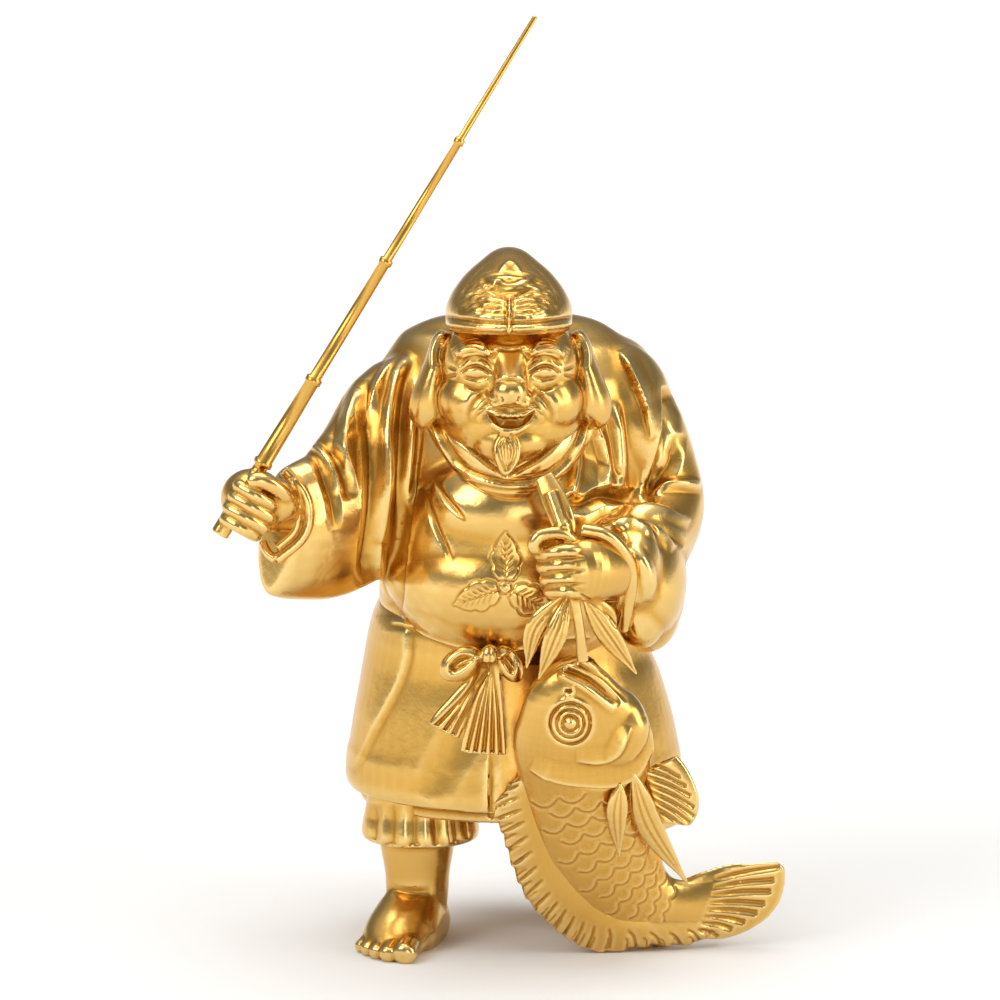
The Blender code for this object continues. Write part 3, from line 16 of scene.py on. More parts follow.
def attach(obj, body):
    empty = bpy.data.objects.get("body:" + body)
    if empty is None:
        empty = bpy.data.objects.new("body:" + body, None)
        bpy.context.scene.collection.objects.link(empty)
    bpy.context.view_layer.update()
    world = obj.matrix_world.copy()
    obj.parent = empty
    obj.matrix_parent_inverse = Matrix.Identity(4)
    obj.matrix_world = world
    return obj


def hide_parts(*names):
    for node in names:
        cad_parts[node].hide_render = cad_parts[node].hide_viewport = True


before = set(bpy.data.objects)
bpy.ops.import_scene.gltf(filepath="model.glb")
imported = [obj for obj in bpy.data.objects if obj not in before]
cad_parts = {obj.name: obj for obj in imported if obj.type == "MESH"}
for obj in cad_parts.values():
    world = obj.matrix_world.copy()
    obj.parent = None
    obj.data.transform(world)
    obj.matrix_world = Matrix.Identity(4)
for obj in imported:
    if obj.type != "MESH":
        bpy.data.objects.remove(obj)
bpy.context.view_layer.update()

# Driving sizes, in metres
FIGURE_HEIGHT = 0.201        # sole to top of the cap
ROD_LENGTH = 0.1506          # seat on the fist to tip
ROD_LOW_RADIUS = 0.0023      # just above the fist
ROD_TIP_RADIUS = 0.0007
RING_RISE = 0.0004           # how far a node's ring stands out
PLUG_CLEARANCE = 0.00035     # under the rod's first ring

UNIT = FIGURE_HEIGHT / 201
VIEW_TILT = math.radians(12)
VIEW_DOWN = math.sin(VIEW_TILT)
VIEW_LEVEL = math.cos(VIEW_TILT)
AXIS_X = Vector((1, 0, 0))
AXIS_Y = Vector((0, 1, 0))
AXIS_Z = Vector((0, 0, 1))

COARSER = 1.0
ROBE_GRAIN = 0.52 * UNIT * COARSER
LEG_GRAIN = 0.48 * UNIT * COARSER
COLLAR_GRAIN = 0.46 * UNIT * COARSER
CAP_GRAIN = 0.40 * UNIT * COARSER
FISH_GRAIN = 0.42 * UNIT * COARSER
HAND_GRAIN = 0.36 * UNIT * COARSER
HEAD_GRAIN = 0.36 * UNIT * COARSER
MOST_TRIANGLES = 190000      # of one piece
THINNEST = 0.25              # half of the least thickness of a form, in figure units

MIDDLE_X = -5.66             # the middle of the whole, in figure units, which is the origin
MIDDLE_Y = -12.17
HEAD_MIDDLE = -2.7           # u of the middle line of the face
ROD_BUTT = (-82.4, 113.9, -50)   # u, v, depth of the butt's end
ROD_AIM = (4.2, 255, -42)        # where the rod points
ROD_SEAT = 16.4              # from the butt's end to the seat on top of the fist
NODE_SHARES = (0.221, 0.477, 0.736)   # the rod's rings, as shares of its length
ROD_SIDES = 64
CAP_MIDDLE = -3.1            # u of the middle line of the cap

# The photograph's view
CAMERA_DISTANCE = 3.0
FRAME_WIDTH = 1.0 / 3.6      # metres across the picture at the figure
VIEW_MIDDLE = (-5.56, 122.2)  # u, v in the middle of the picture
VIEW_DEPTH = -35             # depth at which the picture has that width
SENSOR_WIDTH = 36.0
LIGHT_AIM = Vector((0, 0, 0.1))   # the point that every soft box faces

# Carving and finish
FACING_GAIN = 3              # how soon a stroke fades on skin that turns away from the viewer
LAP_STEEPNESS = 7            # of a lap's front, against its back
RELIEF_SPREAD = 8            # passes over which the skin around a vertex is averaged
RELIEF_GAIN = 2.2            # how fast the gold's painted shade and highlight, and its roughness, answer to the relief, per figure unit
CLOUD_SIZE = 0.012           # of the patches in the leaf's tone, in metres
WAVE_SIZE = 0.004            # of the waves in the burnished skin, in metres
WAVE_DEPTH = 0.0004


# Building forms

def place(x, y, z):
    """A place by its figure units to the viewer's right, behind the middle line and above the ground."""
    return Vector((x - MIDDLE_X, y - MIDDLE_Y, z)) * UNIT


def spot(u, v, depth):
    """The place that a viewer sees at u, v, that far behind the front plane."""
    return place(u, depth, (v - depth * VIEW_DOWN) / VIEW_LEVEL)


def ball(bm, centre, radii, turn=(0, 0, 0)):
    """An ellipsoid with its half width, half height and half depth in figure units, turned by degrees."""
    wide, tall, deep = radii
    size = Matrix.Diagonal(Vector((wide, deep, tall)) * UNIT).to_4x4()
    spin = Euler([math.radians(a) for a in turn]).to_matrix().to_4x4()
    bmesh.ops.create_icosphere(bm, subdivisions=4, radius=1,
                               matrix=Matrix.Translation(centre) @ spin @ size)


def balls(bm, rows):
    """Unturned ellipsoids from rows: the place as seen in the view, then the three half sizes."""
    for row in rows:
        ball(bm, spot(*row[:3]), row[3:])


def tube(bm, stations, up=AXIS_Z, along=None, sides=28, steps=4):
    """A smooth skin over ellipses, each a centre, the half size along up, and the half size across it."""
    table = smooth_line([(*centre, tall, wide) for centre, tall, wide in stations], steps)
    centres = [Vector(row[:3]) for row in table]
    rings = []
    for i, (centre, row) in enumerate(zip(centres, table)):
        ahead = along or centres[min(i + 1, len(centres) - 1)] - centres[max(i - 1, 0)]
        forward = ahead.normalized()
        first = (up - forward * up.dot(forward)).normalized()
        second = forward.cross(first)
        tall, wide = max(row[3], THINNEST), max(row[4], THINNEST)
        seat = Matrix((first * tall * UNIT, second * wide * UNIT, forward)).transposed().to_4x4()
        seat.translation = centre
        made = bmesh.ops.create_circle(bm, segments=sides, radius=1, matrix=seat)
        rings.append(list(dict.fromkeys(edge for vert in made["verts"] for edge in vert.link_edges)))
    for low, high in zip(rings, rings[1:]):
        bmesh.ops.bridge_loops(bm, edges=low + high)
    for ring in (rings[0], rings[-1]):
        bmesh.ops.edgeloop_fill(bm, edges=ring)


def sweep(bm, rows, at=spot, **how):
    """A tube through rows, each a place's three values, the half size along up, and the one across it."""
    tube(bm, [(at(*row[:3]), *row[3:]) for row in rows], **how)


def smooth_line(points, steps=6):
    """A smooth line through a few points."""
    p = np.array(points, float)
    p = np.vstack((2 * p[0] - p[1], p, 2 * p[-1] - p[-2]))
    t = np.linspace(0, 1, steps, endpoint=False)[:, None]
    parts = []
    for a, b, c, d in zip(p, p[1:], p[2:], p[3:]):
        parts.append(b + (c - a) * t / 2 + (a - 2.5 * b + 2 * c - d / 2) * t ** 2
                     + (1.5 * b - a / 2 - 1.5 * c + d / 2) * t ** 3)
    return np.vstack(parts + [p[-2:-1]])


def finger(bm, points, radius):
    """A finger or toe through a few places, with a round tip."""
    path = [spot(*p) for p in smooth_line(points, 4)]
    last = len(path) - 1
    stations = []
    for i, centre in enumerate(path):
        t = i / last
        ends = min(1, math.sqrt(max(0.02, 1 - (2 * t - 1) ** 6)))
        stations.append((centre, radius * ends, radius * ends))
    tube(bm, stations, sides=16, steps=1)


def leaf(bm, points, half_width, thickness=0.9, blunt=0.8):
    """A long flat leaf through a few places, widest before its middle."""
    path = [spot(*p) for p in smooth_line(points, 5)]
    last = len(path) - 1
    stations = []
    for i, centre in enumerate(path):
        swell = max(0.12, math.sin(math.pi * (i / last) ** blunt))
        stations.append((centre, max(0.45, thickness * swell ** 0.5), half_width * swell))
    tube(bm, stations, up=AXIS_Y, sides=20, steps=1)


# Carving the skins

def skin_arrays(mesh):
    """The places and the normals of a skin's vertices, one row each."""
    places = np.empty(len(mesh.vertices) * 3)
    mesh.vertices.foreach_get("co", places)
    normals = np.empty(len(mesh.vertices) * 3)
    mesh.vertex_normals.foreach_get("vector", normals)
    return places.reshape(-1, 3), normals.reshape(-1, 3)


def carve(mesh, strokes, turn=0):
    """Pushes the skin out and in along strokes drawn on it by a viewer who stands that many degrees round.

    Each stroke is a kind, its points as u, v, a half width, a height, and the shares of its length over
    which it starts and ends. A fold has a round back, a crease a sharp one, and a lap stands up to the left
    of its line and fades away from it. A pad raises all that its closed line holds.
    """
    places, normals = skin_arrays(mesh)
    spin = np.array(Matrix.Rotation(-math.radians(turn), 3, "Z"))
    seen = (places / UNIT + (MIDDLE_X, MIDDLE_Y, 0)) @ spin.T
    facing = normals @ spin.T
    u = seen[:, 0]
    v = seen[:, 2] * VIEW_LEVEL + seen[:, 1] * VIEW_DOWN
    toward = np.clip((facing[:, 2] * VIEW_DOWN - facing[:, 1] * VIEW_LEVEL) * FACING_GAIN, 0, 1)
    push = np.zeros(len(places))
    for kind, points, width, height, *ends in strokes:
        line = smooth_line(points if kind != "pad" else list(points) + [points[0]])
        low = line.min(0) - width
        high = line.max(0) + width
        near = np.flatnonzero((u > low[0]) & (u < high[0]) & (v > low[1]) & (v < high[1]) & (toward > 0))
        if not len(near):
            continue
        at = np.stack((u[near], v[near]), 1)
        away, share, left, inside = stroke_distance(at, line)
        s = away / width
        if kind == "fold":
            rise = np.clip(1 - s * s, 0, 1) ** 2
        elif kind == "crease":
            rise = np.clip(1 - s, 0, 1) ** 1.2
        elif kind == "lap":
            rise = np.where(left, np.clip(1 - s, 0, 1) ** 1.5, np.clip(1 - s * LAP_STEEPNESS, 0, 1))
        else:
            rise = np.where(inside, np.clip(s, 0, 1), 0)
        if kind != "pad":
            start, end = ends or (0.3, 0.3)
            grow = np.clip(share / max(start, 1e-6), 0, 1)
            fade = np.clip((1 - share) / max(end, 1e-6), 0, 1)
            rise *= grow ** 0.8 * fade ** 0.8
        push[near] += rise * height
    places += normals * (push * toward * UNIT)[:, None]
    mesh.vertices.foreach_set("co", places.ravel())
    mesh.update()


def stroke_distance(at, line):
    """For each point: its distance from the line, the share along it, and if it is on the left or inside."""
    starts = line[:-1]
    steps = np.diff(line, axis=0)
    lengths = np.maximum(np.hypot(steps[:, 0], steps[:, 1]), 1e-9)
    before = np.concatenate(([0], np.cumsum(lengths)))
    best = np.full(len(at), np.inf)
    share = np.zeros(len(at))
    left = np.zeros(len(at), bool)
    crossings = np.zeros(len(at), int)
    for i, (start, step, length) in enumerate(zip(starts, steps, lengths)):
        gap = at - start
        t = np.clip(gap @ step / length ** 2, 0, 1)
        off = gap - t[:, None] * step
        away = np.hypot(off[:, 0], off[:, 1])
        closer = away < best
        best[closer] = away[closer]
        share[closer] = ((before[i] + t * length) / before[-1])[closer]
        left[closer] = (step[0] * gap[:, 1] - step[1] * gap[:, 0] > 0)[closer]
        end = start + step
        spans = (start[1] > at[:, 1]) != (end[1] > at[:, 1])
        across = start[0] + (at[:, 1] - start[1]) * step[0] / (step[1] if abs(step[1]) > 1e-9 else 1e-9)
        crossings += spans & (at[:, 0] < across)
    return best, share, left, crossings % 2 == 1


def evaluated(obj):
    """The object's mesh with its modifiers applied; the object itself is removed."""
    bpy.context.view_layer.update()
    mesh = bpy.data.meshes.new_from_object(obj.evaluated_get(bpy.context.evaluated_depsgraph_get()))
    bpy.data.objects.remove(obj)
    return mesh


def placed(name, mesh):
    """A new object of the scene, at the origin."""
    obj = bpy.data.objects.new(name, mesh)
    bpy.context.scene.collection.objects.link(obj)
    return obj


def lump_of(bm, name):
    """The forms as one object, faces outward."""
    bmesh.ops.recalc_face_normals(bm, faces=bm.faces)
    mesh = bpy.data.meshes.new(name)
    bm.to_mesh(mesh)
    bm.free()
    return placed(name, mesh)


def skinned(bm, grain, rounding, hollows=None):
    """One closed mesh over all the overlapping forms, with its joins rounded and the hollows cut out."""
    lump = lump_of(bm, "forms")
    skin = lump.modifiers.new("skin", "REMESH")
    skin.mode = "VOXEL"
    skin.voxel_size = grain
    cutter = None
    if hollows is not None:
        cutter = lump_of(hollows, "hollows")
        cutter.hide_render = True
        cut = lump.modifiers.new("hollows", "BOOLEAN")
        cut.operation = "DIFFERENCE"
        cut.solver = "EXACT"
        cut.object = cutter
        again = lump.modifiers.new("skin again", "REMESH")
        again.mode = "VOXEL"
        again.voxel_size = grain
    smooth = lump.modifiers.new("rounding", "SMOOTH")
    smooth.factor = 0.5
    smooth.iterations = rounding
    mesh = evaluated(lump)
    if cutter is not None:
        bpy.data.objects.remove(cutter)
    return mesh


def thinned(mesh, triangles):
    """The same skin in about that many triangles."""
    lump = placed("thick skin", mesh)
    thin = lump.modifiers.new("thin", "DECIMATE")
    thin.ratio = triangles / (2 * len(mesh.vertices))
    thin.use_collapse_triangulate = True
    return evaluated(lump)


def crumple(mesh, centre, reach, size, depth):
    """Beats the skin around a place into small dents, as sand and wax leave them on a rough casting."""
    middle = spot(*centre)
    half = Vector(reach) * UNIT
    for vert in mesh.vertices:
        off = vert.co - middle
        away = math.sqrt((off.x / half.x) ** 2 + (off.y / half.y) ** 2 + (off.z / half.z) ** 2)
        if away < 1:
            at = vert.co / (size * UNIT)
            rise = noise.turbulence(Vector((0.42 * at.x, at.y, 1.25 * at.z)), 2, False) - 0.5
            vert.co += vert.normal * (rise * depth * UNIT * min(1, 3 * (1 - away)))
    mesh.update()


def refine(mesh, low, high):
    """Halves the cells of the front of a skin between two corners of the view."""
    bm = bmesh.new()
    bm.from_mesh(mesh)
    edges = []
    for edge in bm.edges:
        middle = (edge.verts[0].co + edge.verts[1].co) / (2 * UNIT) + Vector((MIDDLE_X, MIDDLE_Y, 0))
        u, v = middle.x, middle.z * VIEW_LEVEL + middle.y * VIEW_DOWN
        if low[0] < u < high[0] and low[1] < v < high[1] and middle.y < CREST_BACK:
            edges.append(edge)
    bmesh.ops.subdivide_edges(bm, edges=edges, cuts=1, use_grid_fill=True)
    bm.to_mesh(mesh)
    bm.free()


def ring_line(u, v, radius, tall=1.0, count=16):
    """The points of a round or oval line."""
    turns = [2 * math.pi * i / count for i in range(count + 1)]
    return tuple((u + radius * math.cos(a), v + tall * radius * math.sin(a)) for a in turns)


# The robe

def robe_forms():
    """The body of the robe with its two sleeves."""
    bm = bmesh.new()
    rows = ((-2, 1, 92, 34, 28.6), (-2, 1, 95, 37.4, 31.6), (-2, 1, 103, 37.6, 31.6), (-2, 2, 114, 39, 32.6),
            (-2, 4, 127, 41.4, 34), (-2, 6, 140, 42.6, 34), (-1.6, 7, 151, 42, 32.4),
            (-2, 8, 160.6, 39.8, 28), (-2.4, 8.6, 168, 34, 22), (-2.4, 9, 172.6, 28, 15.6),
            (-2.4, 9, 175.6, 20, 9), (-2.4, 9, 177, 8, 4))
    sweep(bm, rows, place, up=AXIS_X, sides=64)
    balls(bm, ((-24, 148, 4, 18, 20, 18), (24, 148, 2, 19, 20, 18), (-1, 110, -8, 37, 40, 33.5),
               (-2, 103, -10, 36.4, 24, 34), (-2, 121, -20, 27, 18, 22)))
    right_sleeve(bm)
    left_sleeve(bm)
    return bm


def skirt_forms():
    """The skirt of the robe, a little wider at the hem, with the hem of the lining under it."""
    bm = bmesh.new()
    rows = ((-4, 2, 112, 24, 20), (-4, 2, 96, 36, 31), (-3.75, 3, 80, 40.5, 33), (-3, 3, 69, 43.6, 34.5),
            (-2.2, 3, 57.5, 46.1, 36), (-2, 3, 51.7, 47.2, 36.5), (-1.7, 3, 45.6, 47.5, 37),
            (-1.7, 3, 42, 46.5, 36.5))
    sweep(bm, rows, place, up=AXIS_X, sides=64)
    rows = ((-1.7, 3, 60, 44, 33), (-1.7, 3, 40.5, 43.5, 33.5), (-1.7, 3, 38.5, 41.5, 32))
    sweep(bm, rows, place, up=AXIS_X, sides=64)
    return bm


def right_sleeve(bm):
    """The sleeve on the viewer's left, with the bag under the forearm and a mouth around the wrist."""
    sweep(bm, ((-18, 141, 4, 25, 18), (-30, 137, -1, 27, 18), (-38, 129, -8, 26, 16),
               (-45, 122, -16, 24.4, 13.6), (-53, 116, -25, 22, 11.6), (-60.5, 113.8, -32, 20, 10.6),
               (-65.6, 112.8, -37, 18.4, 9), (-68, 112.8, -39.5, 16.6, 6)))


def left_sleeve(bm):
    """The sleeve on the viewer's right: upper arm, elbow, forearm and the bag that hangs from it."""
    sweep(bm, ((22, 150, 2, 17, 17), (30.5, 142, 1, 15.6, 17), (35.4, 131, 0, 14.5, 14),
               (38, 121, -4, 14, 12.5), (36.5, 113, -14, 13, 12.5), (33, 108, -27, 12.5, 12.5),
               (27.5, 105.5, -39, 11.5, 12), (24, 105, -45, 10.5, 11)), up=AXIS_X)
    balls(bm, ((36.5, 99, -22, 10, 18, 15), (35.5, 92, -26, 9.5, 12.5, 11), (32, 103.4, -42.4, 7.6, 12, 10),
               (36, 100.4, -27, 10.6, 17, 20.4), (33.4, 92, -36, 8, 11.4, 11)))


def cuff_forms():
    """The rims of the two sleeves, each with the edge of an inner sleeve."""
    bm = bmesh.new()
    rims = (
        (1.7, ((-65.4, 130.6, -40.4), (-60.2, 124.4, -41.4), (-58.6, 118, -41.8), (-60.6, 111.6, -42.8),
               (-67.6, 105.6, -44.6))),
        (1.3, ((-67.6, 105.6, -44.6), (-70, 107.6, -43), (-71.4, 110.6, -41))),
        (1, ((-63.4, 128, -42), (-61.6, 121, -42.8), (-62.4, 114, -43.6), (-67.4, 109, -44.6))),
        (1.9, ((16.7, 114, -57), (23.3, 112.6, -57), (27.8, 108.8, -55.4), (30.2, 103.9, -53.6),
               (30.7, 99, -52.6), (29.8, 93.2, -50), (28.4, 86.5, -46))),
        (0.9, ((22, 110.6, -57.4), (26, 107.2, -56), (28, 102, -54.4), (28.2, 97, -52.6), (27.2, 92, -49))),
    )
    for wide, path in rims:
        places = [spot(*p) for p in smooth_line(path, 8)]
        tube(bm, [(centre, wide, wide) for centre in places], up=AXIS_Y, sides=20, steps=1)
    return bm


def sleeve_hollows():
    """The open mouths of the two sleeves."""
    bm = bmesh.new()
    ball(bm, spot(-70.4, 117, -46), (9, 10.4, 8.4), turn=(0, 20, 0))
    ball(bm, spot(22, 102, -57), (9, 10, 12))
    return bm


ROBE_STROKES = (
    # The viewer's left: the crease between sleeve and body, and the folds from the shoulder
    ("crease", ((-43, 156), (-42.8, 146.7), (-40.8, 134), (-40.8, 119), (-42.5, 105), (-43.6, 98)),
     3.2, -2.8, 0.1, 0.1),
    ("crease", ((-33.6, 163), (-38, 156.5), (-42, 149), (-42.6, 143)), 2.6, 2.2),
    ("fold", ((-30, 163.5), (-35, 154.7), (-36.9, 142), (-37, 130), (-38, 119), (-38.3, 110)),
     2.6, 2.6, 0.15, 0.3),
    ("crease", ((-31.5, 160), (-32.8, 145.6), (-33.4, 125), (-34.6, 108)), 2.2, -2, 0.2, 0.4),
    ("fold", ((-28.5, 157), (-30, 145), (-30.6, 132), (-31.5, 118)), 2, 1.6),
    ("crease", ((-45, 154), (-48.3, 141), (-48.8, 133), (-47.3, 124)), 3.4, 2.6),
    ("crease", ((-56.4, 139.4), (-51, 134.4), (-48.3, 127.8), (-47.3, 122)), 2.6, -2.4, 0.3, 0.3),
    ("fold", ((-59, 138.4), (-53.6, 133.8), (-50, 124)), 1.8, 1.2, 0.3, 0.4),
    ("crease", ((-60.5, 135.6), (-55.8, 132.5), (-52.2, 123), (-51.4, 114)), 2.4, -1.8, 0.3, 0.5),
    ("fold", ((-38.5, 110), (-38.8, 102), (-36, 93)), 2.4, 1.2, 0.4, 0.4),
    # The front panel: its edge, the folds under the collar, and its lower edge over the skirt
    ("lap", ((-33.4, 88), (-32.2, 108.6), (-29.7, 124.4), (-27.2, 142.5)), 6, -1.5, 0.25, 0.2),
    ("crease", ((-26.2, 125), (-24.2, 117), (-18.6, 105)), 1.2, -1.1, 0.4, 0.3),
    ("crease", ((-24.2, 129), (-21.8, 124.4), (-15, 116.4)), 1.2, -1, 0.5, 0.3),
    ("lap", ((-36, 88), (-31, 87.3), (-20.3, 83.3), (-11.7, 81.2), (0, 81.4), (10, 84), (20, 84)),
     5, 1.8, 0.2, 0.2),
    # The viewer's right: the shoulder, the armpit and the elbow
    ("lap", ((27.5, 164), (33.9, 149.4), (36.7, 139)), 5, 2.6, 0.2, 0.3),
    ("lap", ((40.4, 154), (40.4, 142.2), (37.5, 131), (33.9, 124)), 5, -2.8, 0.1, 0.1),
    ("crease", ((44.4, 141), (42.5, 132), (35.6, 125)), 2.8, -2.2),
    ("fold", ((26, 150), (27.5, 138), (28, 124)), 2.6, 2.2),
    ("crease", ((20.5, 146), (23.5, 135), (24.5, 124)), 2.4, 2),
    ("fold", ((16, 139), (15.5, 129), (12.6, 120)), 2.2, 1.5),
    ("crease", ((11, 122), (18, 121), (23.5, 123.6), (33, 122.6), (38, 124)), 3, -3, 0.1, 0.1),
    ("fold", ((51, 126), (44, 126.5), (36, 125.3)), 2.4, 2.2),
    ("fold", ((23, 119.8), (31, 120.4), (40, 118.6), (47.5, 115.6)), 2.4, 2),
    ("crease", ((25, 118), (33, 117), (41, 113.5), (45.6, 109)), 2, -1.8),
    ("fold", ((22, 114.5), (30, 116), (37, 113.8), (43, 108.5)), 2.6, 2.2),
    ("fold", ((30, 110), (35, 103), (36, 94)), 3, 1.4),
    # The skirt: the ridge down its side, the shallow hollow beside it, and the slit at the front
    ("lap", ((-47, 46), (-40.6, 58.3), (-32.8, 73.9), (-31.4, 83.3), (-31.4, 90)), 12, 1.2, 0.3, 0.1),
    ("lap", ((-8.4, 51.5), (-8.6, 42), (-8.4, 33)), 2.4, -1, 0.4, 0),
    ("fold", ((-26, 38), (-20, 50), (-12, 62)), 7, -0.8),
)

BACK_STROKES = (
    ("lap", ((-28, 42), (-20, 68), (-17, 90)), 9, 2, 0.1, 0.4),
    ("lap", ((17, 90), (23, 68), (30, 42)), 9, 2, 0.4, 0.1),
    ("fold", ((0, 42), (1, 66), (0, 88)), 6, 1.6, 0.1, 0.4),
    ("fold", ((36, 150), (20, 143), (0, 140), (-20, 143), (-36, 150)), 5, 1.8, 0.3, 0.3),
    ("crease", ((38, 138), (22, 130), (2, 127), (-18, 130), (-36, 138)), 5, -2, 0.3, 0.3),
    ("fold", ((34, 122), (18, 115), (0, 113), (-18, 115), (-34, 122)), 5, 1.6, 0.3, 0.3),
    ("fold", ((-26, 100), (-22, 120), (-26, 146)), 4, 1.4, 0.2, 0.4),
    ("fold", ((28, 100), (24, 120), (28, 146)), 4, 1.4, 0.2, 0.4),
)


def oak_leaf(root, turn, length=13.4, wide=4.3):
    """A lobed leaf of the crest: its raised blade, its sunk outline, its midrib and its side veins."""
    ahead = np.array((math.cos(math.radians(turn)), math.sin(math.radians(turn))))
    aside = np.array((-ahead[1], ahead[0]))
    root = np.array(root)
    strokes = []
    edges = []
    for side in (1, -1):
        edge = []
        for t in np.linspace(0, 1, 31):
            lobes = 0.84 + 0.22 * math.sqrt(abs(math.sin(3 * math.pi * t + 0.5)))
            half = wide * math.sin(math.pi * min(1, 0.1 + 0.9 * t) ** 0.9) ** 0.8 * lobes
            edge.append(tuple(root + ahead * (2 + length * t) + aside * side * max(0.35, half)))
        edges.append(edge)
    outline = edges[0] + edges[1][::-1]
    strokes.append(("pad", tuple(outline), 0.7, 0.16))
    strokes.append(("crease", tuple(outline + outline[:1]), 0.5, -0.2, 0, 0))
    tip = root + ahead * (length + 1)
    strokes.append(("crease", (root + ahead * 2, (root + tip) / 2, tip), 0.5, -0.24, 0, 0.2))
    for i in range(1, 7):
        start = root + ahead * (2 + length * (0.02 + 0.12 * i))
        for side in (1, -1):
            reach = wide * (0.72 - 0.07 * i)
            end = start + ahead * 2 + aside * side * reach
            strokes.append(("crease", (start, (start + end) / 2, end), 0.42, -0.16, 0, 0.3))
    return strokes


CREST_MIDDLE = (-4.0, 98.0)
CREST_CORNERS = ((-22, 84), (14, 118))   # of the part of the robe that is refined for it
CREST_BACK = -20             # and the depth behind which it is left as it is
CREST_LEAVES = oak_leaf(CREST_MIDDLE, 90) + oak_leaf(CREST_MIDDLE, 199) + oak_leaf(CREST_MIDDLE, -28)
CREST_STROKES = tuple(CREST_LEAVES) + (
    ("pad", ring_line(*CREST_MIDDLE, 1.7)[:-1], 0.6, 0.3),
    ("crease", ring_line(*CREST_MIDDLE, 1.8), 0.5, -0.2, 0, 0),
    ("crease", ring_line(*CREST_MIDDLE, 0.9), 0.4, -0.14, 0, 0),
)


def collar_forms():
    """The cloth around the neck, a bowl from the chest up to the chin."""
    bm = bmesh.new()
    rows = ((122.4, 6, -43.6), (124.4, 11.4, -46), (127, 15.6, -48), (131, 19.4, -49), (136, 22.6, -48),
            (141, 24.6, -45), (145.4, 25.4, -41), (149, 24, -37))
    stations = []
    for v, wide, front in rows:
        deep = min(wide, 19)
        z = (v - front * VIEW_DOWN) / VIEW_LEVEL
        stations.append((place(HEAD_MIDDLE + 0.4, front + deep, z), wide, deep))
    tube(bm, stations, up=AXIS_X, along=AXIS_Z, sides=56)
    return bm


def collar_strokes():
    """The round band of the outer robe, and the nested collars that cross under the beard."""
    strokes = [
        ("lap", ((-24.6, 144), (-20.9, 135.8), (-15.8, 130.1), (-4.4, 126.4), (6, 127.2), (12.6, 131.4),
                 (16.4, 137), (18.6, 144)), 3, -2, 0, 0),
        ("crease", ((-25.4, 143), (-22, 134.4), (-16.6, 128.2), (-5, 124.8), (7, 125.6), (13.8, 129.6),
                    (17.8, 136), (19.8, 143)), 0.7, -0.9, 0, 0),
    ]
    for i in range(3):
        lift = 2.3 * i
        left = ((-22.4 + i, 144.6 + lift), (-13.4, 135.9 + lift), (-4.2, 127.9 + lift))
        right = ((-4.2, 127.9 + lift), (6.4, 134.4 + lift), (16 - i, 144.6 + lift))
        strokes.append(("lap", left, 2.2, -2, 0, 0.05))
        strokes.append(("lap", right, 2.2, -2, 0.05, 0))
        strokes.append(("crease", left, 0.6, -0.9, 0, 0.02))
        strokes.append(("crease", right, 0.6, -0.9, 0, 0.02))
    return tuple(strokes)


# The legs

def leg_forms():
    """The gathered trouser legs, the bare shins and the feet."""
    bm = bmesh.new()
    for x, y in ((-28, -9), (29, 8)):
        rows = ((46, 15, 14), (39, 15.4, 14.4), (34, 16.4, 15.4), (31, 16.6, 15.6), (29.8, 15.4, 14.6),
                (29.4, 12, 12))
        tube(bm, [(place(x, y, z), wide, deep) for z, wide, deep in rows], up=AXIS_X, sides=40)
        rows = ((34, 11, 11), (28, 10.6, 10.4), (20, 9.2, 9.4), (14, 8.8, 9.4), (7, 8, 9), (-4, 6, 7))
        tube(bm, [(place(x - 0.9, y + 1, z), wide, deep) for z, wide, deep in rows], up=AXIS_X, sides=64)
    foot(bm, (-29, -7), 17)
    foot(bm, (28.5, 9), -24)
    return bm


# Across, ahead and size of each toe, and the line of its back: the share along it and the lift
TOES = ((5.6, 31, 3.4), (0.4, 30.4, 2.5), (-3.6, 28.4, 2.3), (-7.2, 25.6, 2.1), (-10.2, 22.4, 1.9))
TOE_LINE = ((0, 0.1), (0.3, 0.35), (0.55, 0.3), (0.8, 0.12), (0.93, 0.04), (1, 0))
TOE_WIDTHS = (0.7, 0.86, 0.9, 1.02, 0.84, 0.42)


def foot(bm, ankle, outward):
    """A bare foot whose toes point to the front, turned outward by degrees to the viewer's left."""
    side = 1 if outward > 0 else -1
    spin = Matrix.Rotation(math.radians(-outward), 3, "Z")

    def at(across, ahead, up):
        turned = spin @ Vector((across * side, -ahead, up))
        return place(ankle[0] + turned.x, ankle[1] + turned.y, up)

    tube(bm, [(at(0, -9, 1), 5, 5), (at(0, -6, 3), 8, 8.5), (at(0, 3, 6), 9.4, 12),
              (at(-0.5, 10, 5.2), 10.4, 9.6), (at(-0.6, 16.4, 4), 10, 7), (at(1, 22, 2.4), 7.6, 4.2),
              (at(2.6, 25.4, 1.8), 5, 3)], up=spin @ AXIS_X)
    for across, ahead, size in TOES:
        base = at(across * 0.9, ahead - 3.2 * size, 2.8)
        tip = at(across, ahead, size * 0.6)
        path = [base.lerp(tip, t) + Vector((0, 0, lift * size * UNIT)) for t, lift in TOE_LINE]
        tube(bm, [(centre, size * wide, size * wide) for centre, wide in zip(path, TOE_WIDTHS)], sides=20)


def leg_strokes():
    """The pleats of the gathered trouser leg and the crease in front of the ankle."""
    strokes = [("crease", ((-36, 12.4), (-30.6, 11.6), (-25, 12.2)), 2, -0.8)]
    for u, depth in ((-40.6, -1.3), (-35.4, -1.2), (-29.6, -1.5), (-23.6, -1.2), (-18, -1.4)):
        spread = (u + 29) / 12
        pleat = ((u, 37), (u + 0.4 * spread, 31), (u + 1.1 * spread, 25))
        strokes.append(("crease", pleat, 2.8, depth, 0.4, 0))
    return strokes


# The head

